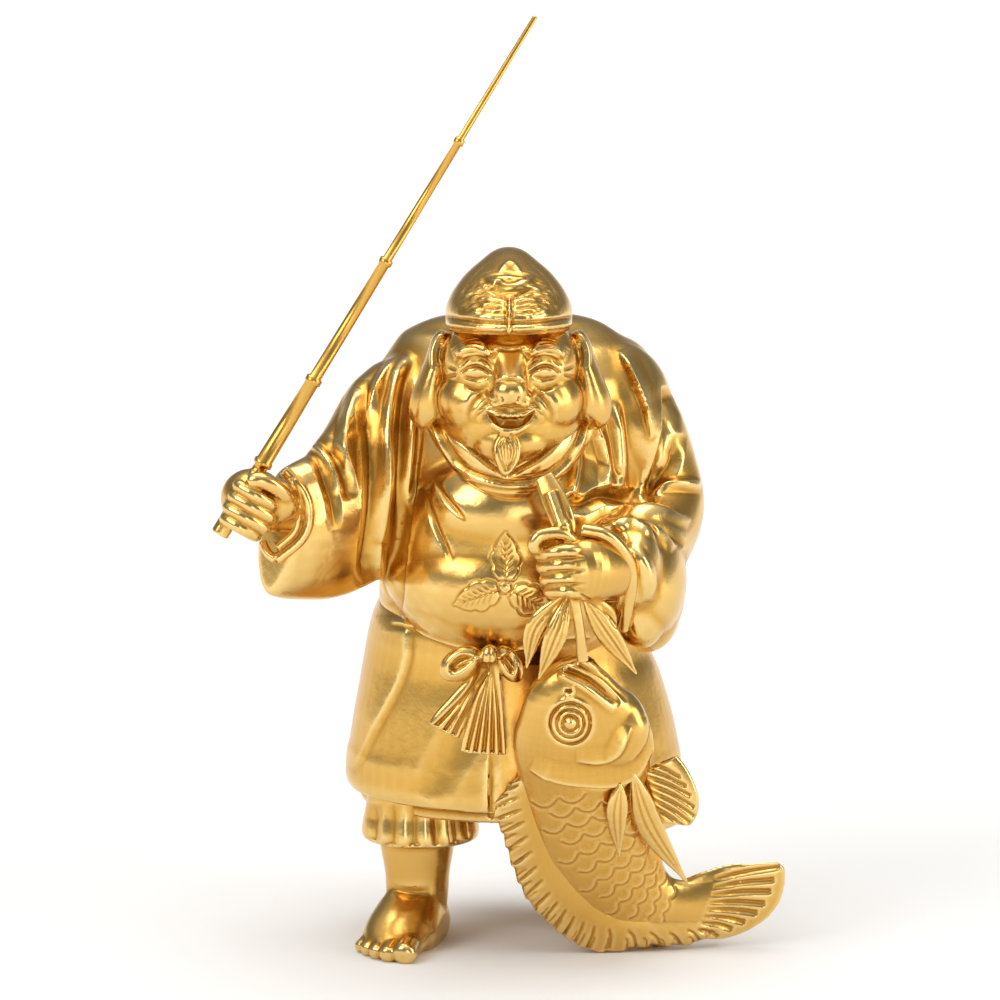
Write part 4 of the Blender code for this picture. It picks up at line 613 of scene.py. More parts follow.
def head_forms():
    """The laughing head: skull, full cheeks, brows, nose, lips, moustache, chin and beard."""
    m = HEAD_MIDDLE
    bm = bmesh.new()
    balls(bm, ((m, 158, -30, 19.4, 20, 20.6), (m, 146.6, -31.5, 20.6, 15, 20),
               (m, 139.4, -43.6, 11, 7.4, 8.8)))
    for side in (-1, 1):
        ball(bm, spot(m + side * 9.6, 150, -39.4), (10.6, 9.8, 10.2))
        ball(bm, spot(m + side * 8.4, 160, -36), (10.6, 12, 12.6))
        ball(bm, spot(m + side * 8, 163.8, -44.6), (7.4, 2.8, 5), turn=(0, side * 10, 0))
        ball(bm, spot(m + side * 9, 158.2, -44.6), (5.4, 3, 4.2))
        ball(bm, spot(m + side * 3.6, 150.4, -50.8), (2.6, 2.2, 3))
        ear(bm, side)
    ball(bm, spot(m, 147, -47.4), (7.6, 3.4, 4.4))
    finger(bm, ((m - 6.2, 144.4, -49), (m, 141, -52), (m + 6.2, 144.4, -49)), 1.3)
    ball(bm, spot(m, 152, -51.8), (4.8, 4.2, 4))
    sweep(bm, ((m, 165, -44.6, 3, 6), (m, 159, -47.6, 4, 4.6), (m, 154, -50.9, 4.5, 4.5)), up=AXIS_Y)
    beard = ((140.6, 1.6, 1.8), (137.6, 2.4, 3.4), (134.6, 2.6, 3.8), (131.6, 2.2, 2.8), (129, 1.1, 1))
    tube(bm, [(spot(m - 1, v, -52), deep, wide) for v, deep, wide in beard], up=AXIS_Y)
    return bm


def ear(bm, side):
    """An ear with the long lobe of a lucky god."""
    rows = ((18.2, 169, -31.4, 1.5, 2.4), (19.2, 166, -31.6, 2.8, 5), (20.6, 160, -32, 3.4, 6.6),
            (21.8, 155, -32.6, 4.2, 7), (22.6, 150.6, -33, 5.2, 7), (22.8, 147, -33, 5.4, 6.4),
            (22.4, 144.6, -33, 4.6, 5), (21.4, 143, -33, 2, 2.4))
    sweep(bm, [(HEAD_MIDDLE + side * out, *row) for out, *row in rows], up=AXIS_X)


def mirrored(strokes):
    """Strokes given from a middle line, with their mirror images across it; none of them is a lap."""
    return strokes + [(kind, [(-u, v) for u, v in points], *rest) for kind, points, *rest in strokes]


def about(middle, strokes):
    """Strokes given from a middle line, put where that line is."""
    return [(kind, [(middle + u, v) for u, v in points], *rest) for kind, points, *rest in strokes]


def face_strokes():
    """The lines of a laughing face, from its middle line, and mostly for the side to the viewer's left."""
    one_side = [
        ("pad", ring_line(-9.5, 158, 4.7, 0.4)[:-1], 1.8, 0.4),
        ("crease", ((-14, 157.4), (-11.4, 158.9), (-8.4, 159), (-5, 157)), 0.8, -1.1, 0.1, 0.1),
        ("crease", ((-14.4, 159), (-11.4, 161.2), (-7.8, 161.2), (-4.4, 158.8)), 0.9, -0.8, 0.2, 0.2),
        ("crease", ((-13, 156.2), (-9.5, 155.4), (-6, 156.4)), 0.7, -0.6, 0.2, 0.2),
        ("crease", ((-12.8, 154), (-9, 152.8), (-5.8, 154.2)), 1.1, -0.6),
        ("crease", ((-14.8, 158), (-18, 159.4)), 0.7, -0.5, 0.1, 0.5),
        ("crease", ((-14.8, 156.8), (-18, 156.2)), 0.7, -0.5, 0.1, 0.5),
        ("crease", ((-6.2, 152.6), (-9.4, 149.8), (-11.4, 146.4), (-11.2, 143.4)), 1.4, -1, 0.15, 0.5),
        ("fold", ((-7.8, 153), (-11.2, 150.4), (-13.4, 146.6)), 2.6, 0.4),
        ("fold", ((-2, 149.9), (-2.6, 149.7)), 1, -1.1, 0, 0),
        ("fold", ((-1.6, 148.4), (-5.2, 148.2), (-8, 146.4), (-9.2, 143.8)), 1.2, 0.9, 0.2, 0.5),
        ("crease", ((-2.4, 148.4), (-5.8, 148), (-9.4, 145.6)), 0.4, -0.5, 0.2, 0.2),
    ]
    for i in range(4):
        lift = 0.95 * i
        strand = ((-4.4 - 0.8 * i, 161.6 + lift), (-8.8, 163.6 + lift), (-12.6, 163.4 + 0.8 * lift),
                  (-15.6 - 0.3 * i, 160.8 + lift))
        one_side.append(("fold", strand, 0.62, 0.7, 0.15, 0.25))
    mouth = ((-7, 147), (-4, 146), (0, 145.4), (4, 146), (7, 147), (5.6, 144.2), (3, 142.4), (0, 141.9),
             (-3, 142.4), (-5.6, 144.2))
    teeth = ((-4.8, 146.1), (0, 145.3), (4.8, 146.1), (4.2, 144.9), (0, 144.1), (-4.2, 144.9))
    whole = [
        ("crease", ((-5.6, 166), (0, 165.2), (5.6, 166)), 0.7, -0.5),
        ("crease", ((-5, 164.2), (0, 163.4), (5, 164.2)), 0.7, -0.5),
        ("pad", mouth, 0.9, -2.4),
        ("fold", mouth[:5], 0.9, 0.6, 0.1, 0.1),
        ("pad", teeth, 0.5, 1.5),
        ("pad", ring_line(0, 142.9, 3, 0.32)[:-1], 0.8, 0.9),
    ]
    for i in range(-2, 3):
        whole.append(("crease", ((1.3 * i, 145.8), (1.3 * i, 144.2)), 0.28, -0.5, 0, 0))
    return about(HEAD_MIDDLE, mirrored(one_side) + whole)


def beard_strokes():
    """Wavy strands of the pointed beard."""
    lines = []
    for x in range(-3, 4):
        line = ((0.4 * x, 140.8), (0.95 * x, 137.4), (0.85 * x + 0.3, 134), (0.25 * x - 0.2, 129.8))
        lines.append(("crease", line, 0.5, -0.9, 0.1, 0.1))
    return about(HEAD_MIDDLE - 1, lines)


def ear_strokes():
    """The rim and the hollow at the top of each ear; the long lobe is smooth."""
    one_side = [
        ("fold", ((-18, 168), (-20, 167), (-21.6, 163), (-21.8, 158.6)), 0.9, 0.7, 0.1, 0.5),
        ("fold", ((-18.9, 165.6), (-19.8, 162.6), (-19.6, 159.4)), 0.8, -0.9, 0.2, 0.3),
    ]
    return about(HEAD_MIDDLE, mirrored(one_side))


# The cap

CAP_AXIS = Vector((0, 0.13, 1))   # the cap is pushed back a little


def cap_forms():
    """The soft cap: its band, and the crown that rises to the back."""
    bm = bmesh.new()
    rows = ((169.2, -33.5, 16.8, 21.4), (171.4, -33.4, 17.5, 22.8), (176, -32, 17.4, 22.4),
            (180.5, -29, 15.4, 19.6), (185, -25.5, 12, 15.5), (188.6, -22.4, 8, 11), (191.2, -20, 4.8, 6.8),
            (192.3, -19, 2.4, 3.4), (192.6, -18.8, 0.6, 0.9))
    sweep(bm, [(CAP_MIDDLE, *row) for row in rows], up=AXIS_X, along=CAP_AXIS, sides=48)
    return bm


def cap_strokes():
    """The brim's band, the seam up its middle, the fold of the peak and the creased cloth around it."""
    m = CAP_MIDDLE
    strokes = [
        ("crease", ((-23, 173.2), (-12, 171.4), (m, 170.8), (6, 171.4), (17, 173.2)), 0.8, -0.9, 0, 0),
        ("fold", ((-22.4, 171.2), (-12, 169.8), (m, 169.3), (6, 169.8), (16.4, 171.2)), 1.2, 0.7, 0, 0),
        ("crease", ((m, 168.2), (m + 0.1, 173), (m, 179)), 0.9, 1, 0, 0.2),
        ("crease", ((m - 0.9, 168.2), (m - 0.8, 173), (m - 0.9, 179)), 0.5, -0.6, 0, 0.2),
        ("crease", ((m + 0.9, 168.2), (m + 1, 173), (m + 0.9, 179)), 0.5, -0.6, 0, 0.2),
        ("crease", ((-6, 184.4), (-4.6, 186.6), (-2.8, 188), (-1, 186.6), (0.4, 184.4)), 1, 0.6, 0.3, 0.3),
        ("fold", ((m - 7, 184.2), (m - 4, 182.4), (m, 181.8), (m + 4, 182.4), (m + 7, 184.2)), 1.3, 0.9),
        ("pad", ((m - 6.4, 180.4), (m, 183.6), (m + 6.4, 180.4), (m, 177.2)), 2, -1.5),
        ("lap", ((-17.4, 176), (-15, 182), (-10.4, 187), (-5, 191)), 2.6, -0.9, 0.3, 0.4),
        ("lap", ((-1, 191), (4.2, 187), (8.8, 182), (11.2, 176)), 2.6, -0.9, 0.4, 0.3),
    ]
    for i in range(5):
        drop = 1.5 * i
        for side in (-1, 1):
            line = ((m + side * 1.6, 179.6 - drop), (m + side * (6 + i), 180.4 - drop),
                    (m + side * (12 + 0.5 * i), 178.4 - 0.8 * drop))
            strokes.append(("crease", line, 0.9, -0.8 + 0.1 * i, 0.2, 0.4))
    return tuple(strokes)


# The hands

def right_hand_forms():
    """The fist around the rod."""
    bm = bmesh.new()
    ball(bm, spot(-73.5, 122, -46), (9.6, 8.8, 9), turn=(0, 30, 0))
    sweep(bm, ((-60, 117.6, -33, 5, 5), (-64.4, 118.6, -38.4, 6, 6), (-69, 121, -43, 7.4, 7.2)), sides=48)
    ball(bm, spot(-66.5, 122, -49), (5.8, 6, 5.4))
    rows = ((-77.3, 126, -69, 121), (-78.6, 123, -69.4, 117.6), (-80.2, 119.9, -71, 114.6),
            (-81, 116.8, -73.6, 112.6))
    for u0, v0, u1, v1 in rows:
        finger(bm, ((u0 - 0.6, v0 + 0.3, -50), (u0, v0, -54), ((u0 + u1) / 2, (v0 + v1) / 2, -56.6),
                    (u1, v1, -54.5), (u1 + 0.8, v1 - 0.5, -51.5)), 1.85)
    finger(bm, ((-63, 121.5, -51), (-67, 125.5, -54.5), (-71.6, 127.6, -56), (-75.6, 127.2, -55.5)), 2.3)
    butt = [(rod_point(along), 2.6, 2.6) for along in (-ROD_SEAT - 1.4, 8 - ROD_SEAT)]
    tube(bm, butt, sides=ROD_SIDES)
    return bm


def rod_point(along):
    """A place on the rod's line, so many figure units above the seat on the fist."""
    butt = spot(*ROD_BUTT)
    axis = (spot(*ROD_AIM) - butt).normalized()
    return butt + axis * (ROD_SEAT + along) * UNIT


HAND_LEAVES = (((1.8, 75.6, -50), (4.5, 87, -54), 3.1), ((5.2, 72.6, -52.5), (9.6, 84, -56.5), 3.2),
               ((32.4, 73.8, -47), (24.4, 85, -52), 3.3), ((27, 86.5, -47), (23.5, 91, -51), 2.8))


def hand_leaf_strokes():
    """The midrib and the long veins of the leaves under the left fist, and the creases of the fingers."""
    strokes = []
    for tip, bend, wide in HAND_LEAVES:
        root = (13 + 0.12 * tip[0], 96.5)
        for share in (-0.5, 0, 0.5):
            middle = (bend[0] + share * wide, bend[1])
            depth = -0.6 if share == 0 else -0.2
            strokes.append(("crease", (root, middle, tip[:2]), 0.55, depth, 0.2, 0.1))
    for v in (106.2, 102.6, 99):
        strokes.append(("crease", ((7, v - 0.3), (12, v), (18.4, v + 0.2)), 0.7, -0.7, 0.1, 0.5))
    return tuple(strokes)


def left_hand_forms():
    """The fist in front of the belly, seen from its back, with the stick and the sheath that it holds."""
    bm = bmesh.new()
    sweep(bm, ((34, 101, -36, 6, 6), (28.8, 101.8, -45, 7, 6.6), (24, 103, -52.2, 8.4, 7.2),
               (18.6, 103, -57.8, 9, 7), (14.4, 102.6, -59.6, 8.4, 5.4), (11.4, 102.4, -59.6, 7, 3)),
          sides=64)
    rows = ((5.4, 107.4, 11.6, 108, 2.2), (6.2, 103.8, 12.4, 104.4, 2.2), (7, 100.2, 13, 100.6, 2.1),
            (8, 96.8, 13.4, 97, 1.9))
    for u0, v0, u1, v1, size in rows:
        finger(bm, ((u0 + 2.4, v0 - 0.2, -54), (u0 + 0.2, v0, -58), (u0 + 3.2, v0 + 0.2, -61.8),
                    (u1, v1, -63), (u1 + 4, v1, -61.6), (u1 + 7, v1, -58)), size)
    finger(bm, ((16.4, 110, -58.4), (11.4, 112.8, -60), (6, 112.6, -61.4), (3.8, 110, -61.6),
                (5.4, 107.6, -60.6)), 2)
    sweep(bm, ((6.4, 128.8, -50, 1.1, 2.8), (9.4, 122.4, -53.6, 1.3, 3.6), (11.8, 116.4, -56.6, 1.3, 3.5),
               (13.4, 109, -58, 1.2, 2.6)), up=AXIS_Y)
    sweep(bm, ((8.4, 124.4, -54.4, 1.8, 1.8), (11.2, 116.4, -58.4, 1.9, 1.9), (11.6, 115.6, -58.7, 2.3, 2.3),
               (12.1, 114.3, -59, 2.3, 2.3), (12.5, 113.4, -59.2, 1.9, 1.9), (14, 106, -60, 1.9, 1.9)),
          sides=24)
    for tip, bend, wide in HAND_LEAVES:
        leaf(bm, ((13 + 0.12 * tip[0], 96.5, -55), bend, tip), wide, 1.3, 0.9)
    sweep(bm, ((14.6, 97, -56, 1.5, 1.5), (16.2, 88, -55.4, 1.5, 1.5), (17.4, 77.6, -53, 1.6, 1.6)),
          sides=16)
    return bm


# The sash bow

def bow_forms():
    """The bow: its knot, two puffed loops and two pleated tails."""
    bm = bmesh.new()
    ball(bm, spot(-8.3, 78.9, -39), (2.9, 3.2, 2.8))
    ball(bm, spot(-16.4, 76.6, -37.6), (6.6, 4.6, 3), turn=(0, -34, 0))
    ball(bm, spot(-3, 76.6, -37.8), (5.8, 3.4, 3), turn=(0, 62, 0))
    tail = ((78, 1.8, -9.6), (72, 2.8, -12), (66, 3.8, -15.8), (60.6, 4.6, -19.6), (57.8, 4.8, -21.2))
    tube(bm, [(spot(u, v, -37), 1.7, wide) for v, wide, u in tail], up=AXIS_Y)
    tail = ((78, 2, -8), (71, 3.2, -8.2), (64, 4.6, -9), (57, 5.8, -9.8), (51.6, 6.4, -10.2))
    tube(bm, [(spot(u, v, -38.4), 1.9, wide) for v, wide, u in tail], up=AXIS_Y)
    return bm


def bow_strokes():
    """The hollows of the loops, the folds of the knot and the pleats of the tails."""
    strokes = [
        ("pad", ((-11.6, 78.4), (-16.4, 79.6), (-20, 76.8), (-19.6, 73.8), (-16.4, 74.4)), 1.4, -2.4),
        ("crease", ((-10.6, 78.6), (-15, 77.4), (-19, 74.8)), 0.7, 1.1, 0.1, 0.2),
        ("pad", ((-6, 78.2), (-2.6, 80.2), (-0.8, 78), (-1.4, 73.8), (-3.4, 74)), 1.2, -2.2),
        ("crease", ((-6.4, 78.4), (-3.2, 77.4), (-1.6, 74.2)), 0.6, 0.9, 0.1, 0.2),
        ("crease", ((-10.4, 80.8), (-10.8, 77)), 0.5, -0.6, 0.1, 0.1),
        ("crease", ((-8.3, 81.6), (-8.3, 76.4)), 0.5, -0.4, 0.1, 0.1),
        ("crease", ((-6.4, 80.8), (-6, 77)), 0.5, -0.6, 0.1, 0.1),
    ]
    for x in range(-2, 3):
        pleat = ((-8.2 + 0.5 * x, 77), (-8.8 + 1.4 * x, 66), (-10.2 + 2.6 * x, 50.5))
        strokes.append(("crease", pleat, 1, -1.5, 0.1, 0))
    for x in range(-1, 2):
        pleat = ((-9.8 + 0.5 * x, 77), (-13.4 + 1.2 * x, 69 + 0.6 * x), (-21.4 + 2.6 * x, 57.4 - 1.4 * x))
        strokes.append(("crease", pleat, 1, -1.3, 0.1, 0))
    return tuple(strokes)


# The sea bream

FISH_EYE = (13.9, 60.3)      # u, v
FISH_SPINE = ((17, 51), (18, 43), (19.6, 35), (22.6, 26), (27.6, 17.6), (34, 11), (42, 7.6))
SCALE_ROWS = 15
SCALE_WIDTH = 8.8            # in the first row, behind the gill
BODY_HALF = 17.5             # how far from the spine the scales reach there
GILL_LINE = 41.6             # v above which no scale sits


def fish_forms():
    """The body of the bream, head up, with its cheek and eye."""
    bm = bmesh.new()
    rows = ((17.6, 78.6, -50, 3.4, 3), (16.6, 74.5, -49.6, 5.8, 8.6), (16, 68, -48, 8, 14.4),
            (17, 60, -45, 9.4, 18.6), (17.6, 52, -41.5, 9.8, 19.2), (18, 45, -38, 9.4, 18),
            (19, 37, -34, 9, 17.4), (21.6, 28, -30, 8.4, 17), (26, 19.5, -26.5, 7.4, 15),
            (32, 12.4, -23.5, 6, 11.8), (39, 8.4, -21.5, 4.6, 9), (46, 7.4, -20, 3.8, 8),
            (52, 7.8, -19, 2.9, 8.4), (58, 9.4, -18, 1.9, 9), (63.5, 11.4, -17, 1.2, 9))
    sweep(bm, rows, up=AXIS_Y, sides=48)
    ball(bm, spot(26, 58, -47), (9.4, 11, 6), turn=(0, 20, 0))
    ball(bm, spot(*FISH_EYE, -52.4), (5.6, 5.6, 3.6))
    return bm


BACK_FIN_ROOT = ((2, 46, -39), (3, 38, -36.6), (4.4, 31, -34.6), (6.6, 22, -32), (10, 14.4, -30),
                 (14.6, 9.4, -28), (19.4, 6.2, -26), (26, 3.8, -24.4), (37, 2.4, -23), (48, 3, -20),
                 (57, 5.6, -17))
BACK_FIN_EDGE = ((-0.6, 47.4), (-7.8, 38), (-5.6, 30), (-2.8, 20.4), (1.1, 11.1), (6.6, 4.4), (12.4, -1.1),
                 (20, -4), (35.3, -3.6), (48, -3.4), (58, 2.4))
BACK_FIN_TEETH = 20
TOOTH_DEPTH = 0.9
FAN_ROOT = ((32.6, 51), (34, 46), (35.6, 41), (37, 36))
FAN_EDGE = ((44, 46), (47.6, 40), (49, 33), (46.2, 28.4))
FAN_RAYS = 7
TAIL_ROOT = ((50, 15.4), (49, 8), (48, 1))
TAIL_EDGE = ((73.4, 20.4), (68, 7), (54, -2.4))
TAIL_RAYS = 8


def fin_forms():
    """The fins: one along the back, the tail, the fan behind the gill and the two long ones."""
    bm = bmesh.new()
    root = smooth_line(BACK_FIN_ROOT, 20)
    edge = smooth_line(BACK_FIN_EDGE, 20)
    web = []
    for i, (inner, outer) in enumerate(zip(root, edge)):
        tooth = (BACK_FIN_TEETH * i / (len(root) - 1)) % 1
        reach = np.hypot(*(outer - inner[:2])) - TOOTH_DEPTH * (1 - tooth)
        web.append((spot(*inner), 3, max(1, reach)))
    tube(bm, web, up=AXIS_Y, sides=32, steps=1)
    rows = ((45, 8, -20, 7.4), (50, 8, -19.5, 9.4), (56, 8.6, -18.5, 10.4), (62, 10.6, -17.5, 10),
            (67, 13.2, -17, 8.4), (71, 16.6, -16.8, 5), (73.6, 19.4, -16.6, 1.4))
    tube(bm, [(spot(u, v, y), 1.8 - 0.03 * (u - 45), wide) for u, v, y, wide in rows], up=AXIS_Y, sides=32)
    fan = []
    for inner, outer in zip(smooth_line(FAN_ROOT, 8), smooth_line(FAN_EDGE, 8)):
        fan.append((*((inner + outer) / 2), -39.6, 1.6, np.hypot(*(outer - inner)) / 2))
    sweep(bm, fan, up=AXIS_Y, sides=32, steps=1)
    leaf(bm, ((28, 43.6, -49), (27, 34, -46.6), (27.8, 22.4, -40.4)), 3.1, 1.6, 0.8)
    leaf(bm, ((31.4, 46.6, -47.6), (36.4, 31, -42), (47, 14.8, -30.8)), 3.8, 1.6, 0.8)
    return bm


def ray_lines(root, edge, count, start, slant, width, depth):
    """Engraved lines across a fin, from a share of its breadth out to the edge, leaning toward its end."""
    inner = smooth_line([p[:2] for p in root], 30)
    outer = smooth_line(edge, 30)
    last = len(inner) - 1
    lines = []
    for i in range(count):
        t = (i + 0.5) / count
        low = inner[int(t * (1 - slant) * last)]
        high = outer[int((slant + t * (1 - slant)) * last)]
        first = low + (high - low) * start
        middle = low + (high - low) * (0.5 + 0.5 * start) + np.array((0.5, 0.4))
        lines.append(("crease", (first, middle, high), width, depth, 0.3, 0.02))
    return lines


def fin_strokes():
    """The veins of the two long fins and the rays of the others."""
    strokes = []
    long_fins = ((((28, 43), (27, 34), (27.8, 23)), 1.5), (((31.4, 46), (36.4, 31), (46.6, 15.6)), 1.8))
    for middle, half in long_fins:
        for share in (-0.6, 0.6):
            line = tuple((u + share * half * (1 if i == 1 else 0.2), v) for i, (u, v) in enumerate(middle))
            strokes.append(("crease", line, 0.5, -0.3, 0.1, 0.1))
    strokes += ray_lines(BACK_FIN_ROOT, BACK_FIN_EDGE, BACK_FIN_TEETH, 0.25, 0.05, 0.7, -0.7)
    strokes += ray_lines(BACK_FIN_ROOT, BACK_FIN_EDGE, BACK_FIN_TEETH + 7, 0.55, 0.04, 0.5, -0.45)
    strokes += ray_lines(FAN_ROOT, FAN_EDGE, FAN_RAYS, 0.1, 0, 0.8, -0.9)
    return strokes + tail_lines()


def tail_lines():
    """The rays of the tail, which run on over the end of the body."""
    return ray_lines(TAIL_ROOT, TAIL_EDGE, TAIL_RAYS, 0.2, 0, 1.2, -1)


def fish_scales():
    """Rows of round scales that overlap toward the tail."""
    strokes = []
    spine = smooth_line(FISH_SPINE, 12)
    for row in range(SCALE_ROWS):
        i = int(row * (len(spine) - 3) / (SCALE_ROWS - 1))
        middle = spine[i]
        ahead = spine[i + 2] - spine[i]
        ahead = ahead / np.hypot(*ahead)
        side = np.array((-ahead[1], ahead[0]))
        wide = SCALE_WIDTH - 0.32 * row
        for k in range(-3, 4):
            shift = (k + (0.5 if row % 2 else 0)) * wide
            centre = middle + side * shift
            if abs(shift) > BODY_HALF - 0.8 * row or centre[1] > GILL_LINE:
                continue
            line = [centre + side * wide * 0.54 * s + ahead * 0.34 * wide * (1 - s * s)
                    for s in (-1, -0.5, 0, 0.5, 1)]
            strokes.append(("lap", line, 2, 0.22, 0.05, 0.05))
            strokes.append(("crease", line, 0.55, -0.42, 0.15, 0.15))
    return strokes


FISH_STROKES = [
    # The edge of the gill cover, the line before it, the lips, the nostril and the brow over the eye
    ("lap", ((2.6, 47.4), (8, 45.2), (14.7, 43.6), (25, 43), (32.2, 46), (36.6, 53.6), (35, 62)),
     5, 1.8, 0.1, 0.3),
    ("crease", ((14.7, 43), (25, 42.4), (32.6, 45.6), (37, 53.6)), 0.8, -0.8, 0.2, 0.2),
    ("lap", ((15.3, 49.8), (22, 49.4), (27.5, 51.9), (30.8, 59.2)), 4.4, 1.3, 0.3, 0.3),
    ("crease", ((12.6, 75.4), (20.6, 71.6), (27.6, 65.6)), 1.4, -1.8, 0, 0.3),
    ("fold", ((10.6, 74.4), (19, 69.4), (26.4, 63.4)), 1.5, 0.9, 0.1, 0.4),
    ("crease", ((16, 77), (24, 73), (30, 66.4)), 1.2, -1.3, 0, 0.3),
    ("fold", ((13.2, 69.8), (13.3, 69)), 1.2, -1.4, 0, 0),
    ("fold", ((14.6, 71), (14.8, 68.6), (12.6, 67.8)), 0.6, 0.7, 0.1, 0.1),
    ("fold", ((9, 64), (14, 67), (20, 64)), 1.6, 0.5),
]
EYE_RINGS = (("crease", 5.6, 0.7, -1.2), ("fold", 4.7, 0.7, 0.5), ("crease", 3.8, 0.5, -0.9),
             ("fold", 3, 0.7, 0.5), ("crease", 2.2, 0.5, -0.9))
for kind, radius, width, height in EYE_RINGS:
    FISH_STROKES.append((kind, ring_line(*FISH_EYE, radius), width, height, 0, 0))
FISH_STROKES.append(("pad", ring_line(*FISH_EYE, 1.5)[:-1], 1.4, 1))


# Finishes

def linear(code):
    """The linear colour of an sRGB hex value."""
    parts = [int(code[i:i + 2], 16) / 255 for i in (1, 3, 5)]
    return tuple(p / 12.92 if p <= 0.04045 else ((p + 0.055) / 1.055) ** 2.4 for p in parts) + (1,)


def add_node(tree, kind, settings=(), inputs=()):
    """A node with its settings, each input linked to another node's output or set to a value."""
    made = tree.nodes.new(kind)
    for name, value in settings:
        setattr(made, name, value)
    for name, value in inputs:
        if isinstance(value, bpy.types.NodeSocket):
            tree.links.new(value, made.inputs[name])
        else:
            made.inputs[name].default_value = value
    return made


def gold_leaf(name, grain_size, grain_depth):
    """Gold leaf burnished over a cast copper alloy.

    It is a warm mirror broken up by the casting's skin: slightly wavy, finely grained, and duller in the
    hollows, where the leaf isn't rubbed. Its colour has painted shade in the hollows, darker and redder, and
    a painted highlight on the edges, paler.
    """
    material = bpy.data.materials.new(name)
    material.use_nodes = True
    tree = material.node_tree
    shader = tree.nodes["Principled BSDF"]
    where = add_node(tree, "ShaderNodeTexCoord")
    relief = add_node(tree, "ShaderNodeAttribute", [("attribute_name", "relief")])

    def patches(size, detail):
        """A noise whose patches are about that many metres across."""
        inputs = [("Vector", where.outputs["Object"]), ("Scale", 1 / size), ("Detail", detail)]
        return add_node(tree, "ShaderNodeTexNoise", [], inputs).outputs["Fac"]

    leaf_tone = add_node(tree, "ShaderNodeMix", [("data_type", "RGBA")],
                         [("Factor", patches(CLOUD_SIZE, 3)), ("A", linear("#D2A04A")),
                          ("B", linear("#DCB05C"))])
    # Painted shade and highlight: the relief darkens and reddens the gold in the hollows and pales it on the
    # edges
    painted_shade_and_highlight_mask = add_node(tree, "ShaderNodeMapRange", [],
                      [("Value", relief.outputs["Fac"]), ("From Min", 0.2), ("From Max", 0.8)])
    painted_shade_and_highlight_tone = add_node(tree, "ShaderNodeValToRGB", [], [("Fac", painted_shade_and_highlight_mask.outputs["Result"])])
    painted_shade_and_highlight_tone.color_ramp.elements[0].color = linear("#A5722A")
    painted_shade_and_highlight_tone.color_ramp.elements[1].color = linear("#F3D692")
    middle = painted_shade_and_highlight_tone.color_ramp.elements.new(0.5)
    middle.color = linear("#D5A550")
    # The leaf's patchy tone, taken 0.6 of the way toward the painted shade and highlight
    blend = add_node(tree, "ShaderNodeMix", [("data_type", "RGBA")],
                     [("Factor", 0.6), ("A", leaf_tone.outputs["Result"]), ("B", painted_shade_and_highlight_tone.outputs["Color"])])
    tree.links.new(blend.outputs["Result"], shader.inputs["Base Color"])
    worn = add_node(tree, "ShaderNodeMapRange", [],
                    [("Value", relief.outputs["Fac"]), ("From Min", 0.3), ("From Max", 0.7),
                     ("To Min", 0.34), ("To Max", 0.2)])
    tree.links.new(worn.outputs["Result"], shader.inputs["Roughness"])
    wavy = add_node(tree, "ShaderNodeBump", [],
                    [("Height", patches(WAVE_SIZE, 2)), ("Strength", 0.25), ("Distance", WAVE_DEPTH)])
    grained = add_node(tree, "ShaderNodeBump", [],
                       [("Height", patches(grain_size, 2)), ("Strength", 0.25), ("Distance", grain_depth),
                        ("Normal", wavy.outputs["Normal"])])
    tree.links.new(grained.outputs["Normal"], shader.inputs["Normal"])
    shader.inputs["Metallic"].default_value = 1
    return material


def mark_relief(mesh, spread):
    """Writes on each vertex how far it stands out of the skin around it: 0 in a hollow, 1 on an edge."""
    places, normals = skin_arrays(mesh)
    count = len(places)
    ends = np.empty(len(mesh.edges) * 2, int)
    mesh.edges.foreach_get("vertices", ends)
    a, b = ends.reshape(-1, 2).T
    links = np.bincount(a, minlength=count) + np.bincount(b, minlength=count)
    links = np.maximum(links, 1)
    near = places.copy()
    for _ in range(spread):
        total = np.stack([np.bincount(a, near[b, i], count) + np.bincount(b, near[a, i], count)
                          for i in range(3)], 1)
        near = total / links[:, None]
    stand = ((places - near) * normals).sum(1) / UNIT
    # The gold's painted shade in the hollows and painted highlight on the edges, and its roughness, follow
    # this value
    layer = mesh.attributes.new("relief", "FLOAT", "POINT")
    layer.data.foreach_set("value", np.clip(0.5 + stand * RELIEF_GAIN, 0, 1).astype(np.float32))


# The pieces

def add_piece(name, mesh, node, material, spread=RELIEF_SPREAD):
    """Puts a finished mesh on the object in place of a CAD node; a spread of 0 leaves its painted shade and
    highlight, and its roughness, even.
    """
    if len(mesh.polygons) * 2 > MOST_TRIANGLES:
        mesh = thinned(mesh, MOST_TRIANGLES)
    mesh.name = name
    mark_relief(mesh, spread)
    mesh.shade_smooth()
    mesh.materials.clear()
    mesh.materials.append(material)
    obj = placed(name, mesh)
    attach(obj, "root")
    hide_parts(node)


def level_off(mesh):
    """Cuts off what hangs under the standing plane."""
    bm = bmesh.new()
    bm.from_mesh(mesh)
    whole = bm.verts[:] + bm.edges[:] + bm.faces[:]
    cut = bmesh.ops.bisect_plane(bm, geom=whole, plane_co=(0, 0, 0), plane_no=(0, 0, -1), clear_outer=True)
    rim = [g for g in cut["geom_cut"] if isinstance(g, bmesh.types.BMEdge) and g.is_boundary]
    bmesh.ops.holes_fill(bm, edges=rim)
    bm.to_mesh(mesh)
    bm.free()


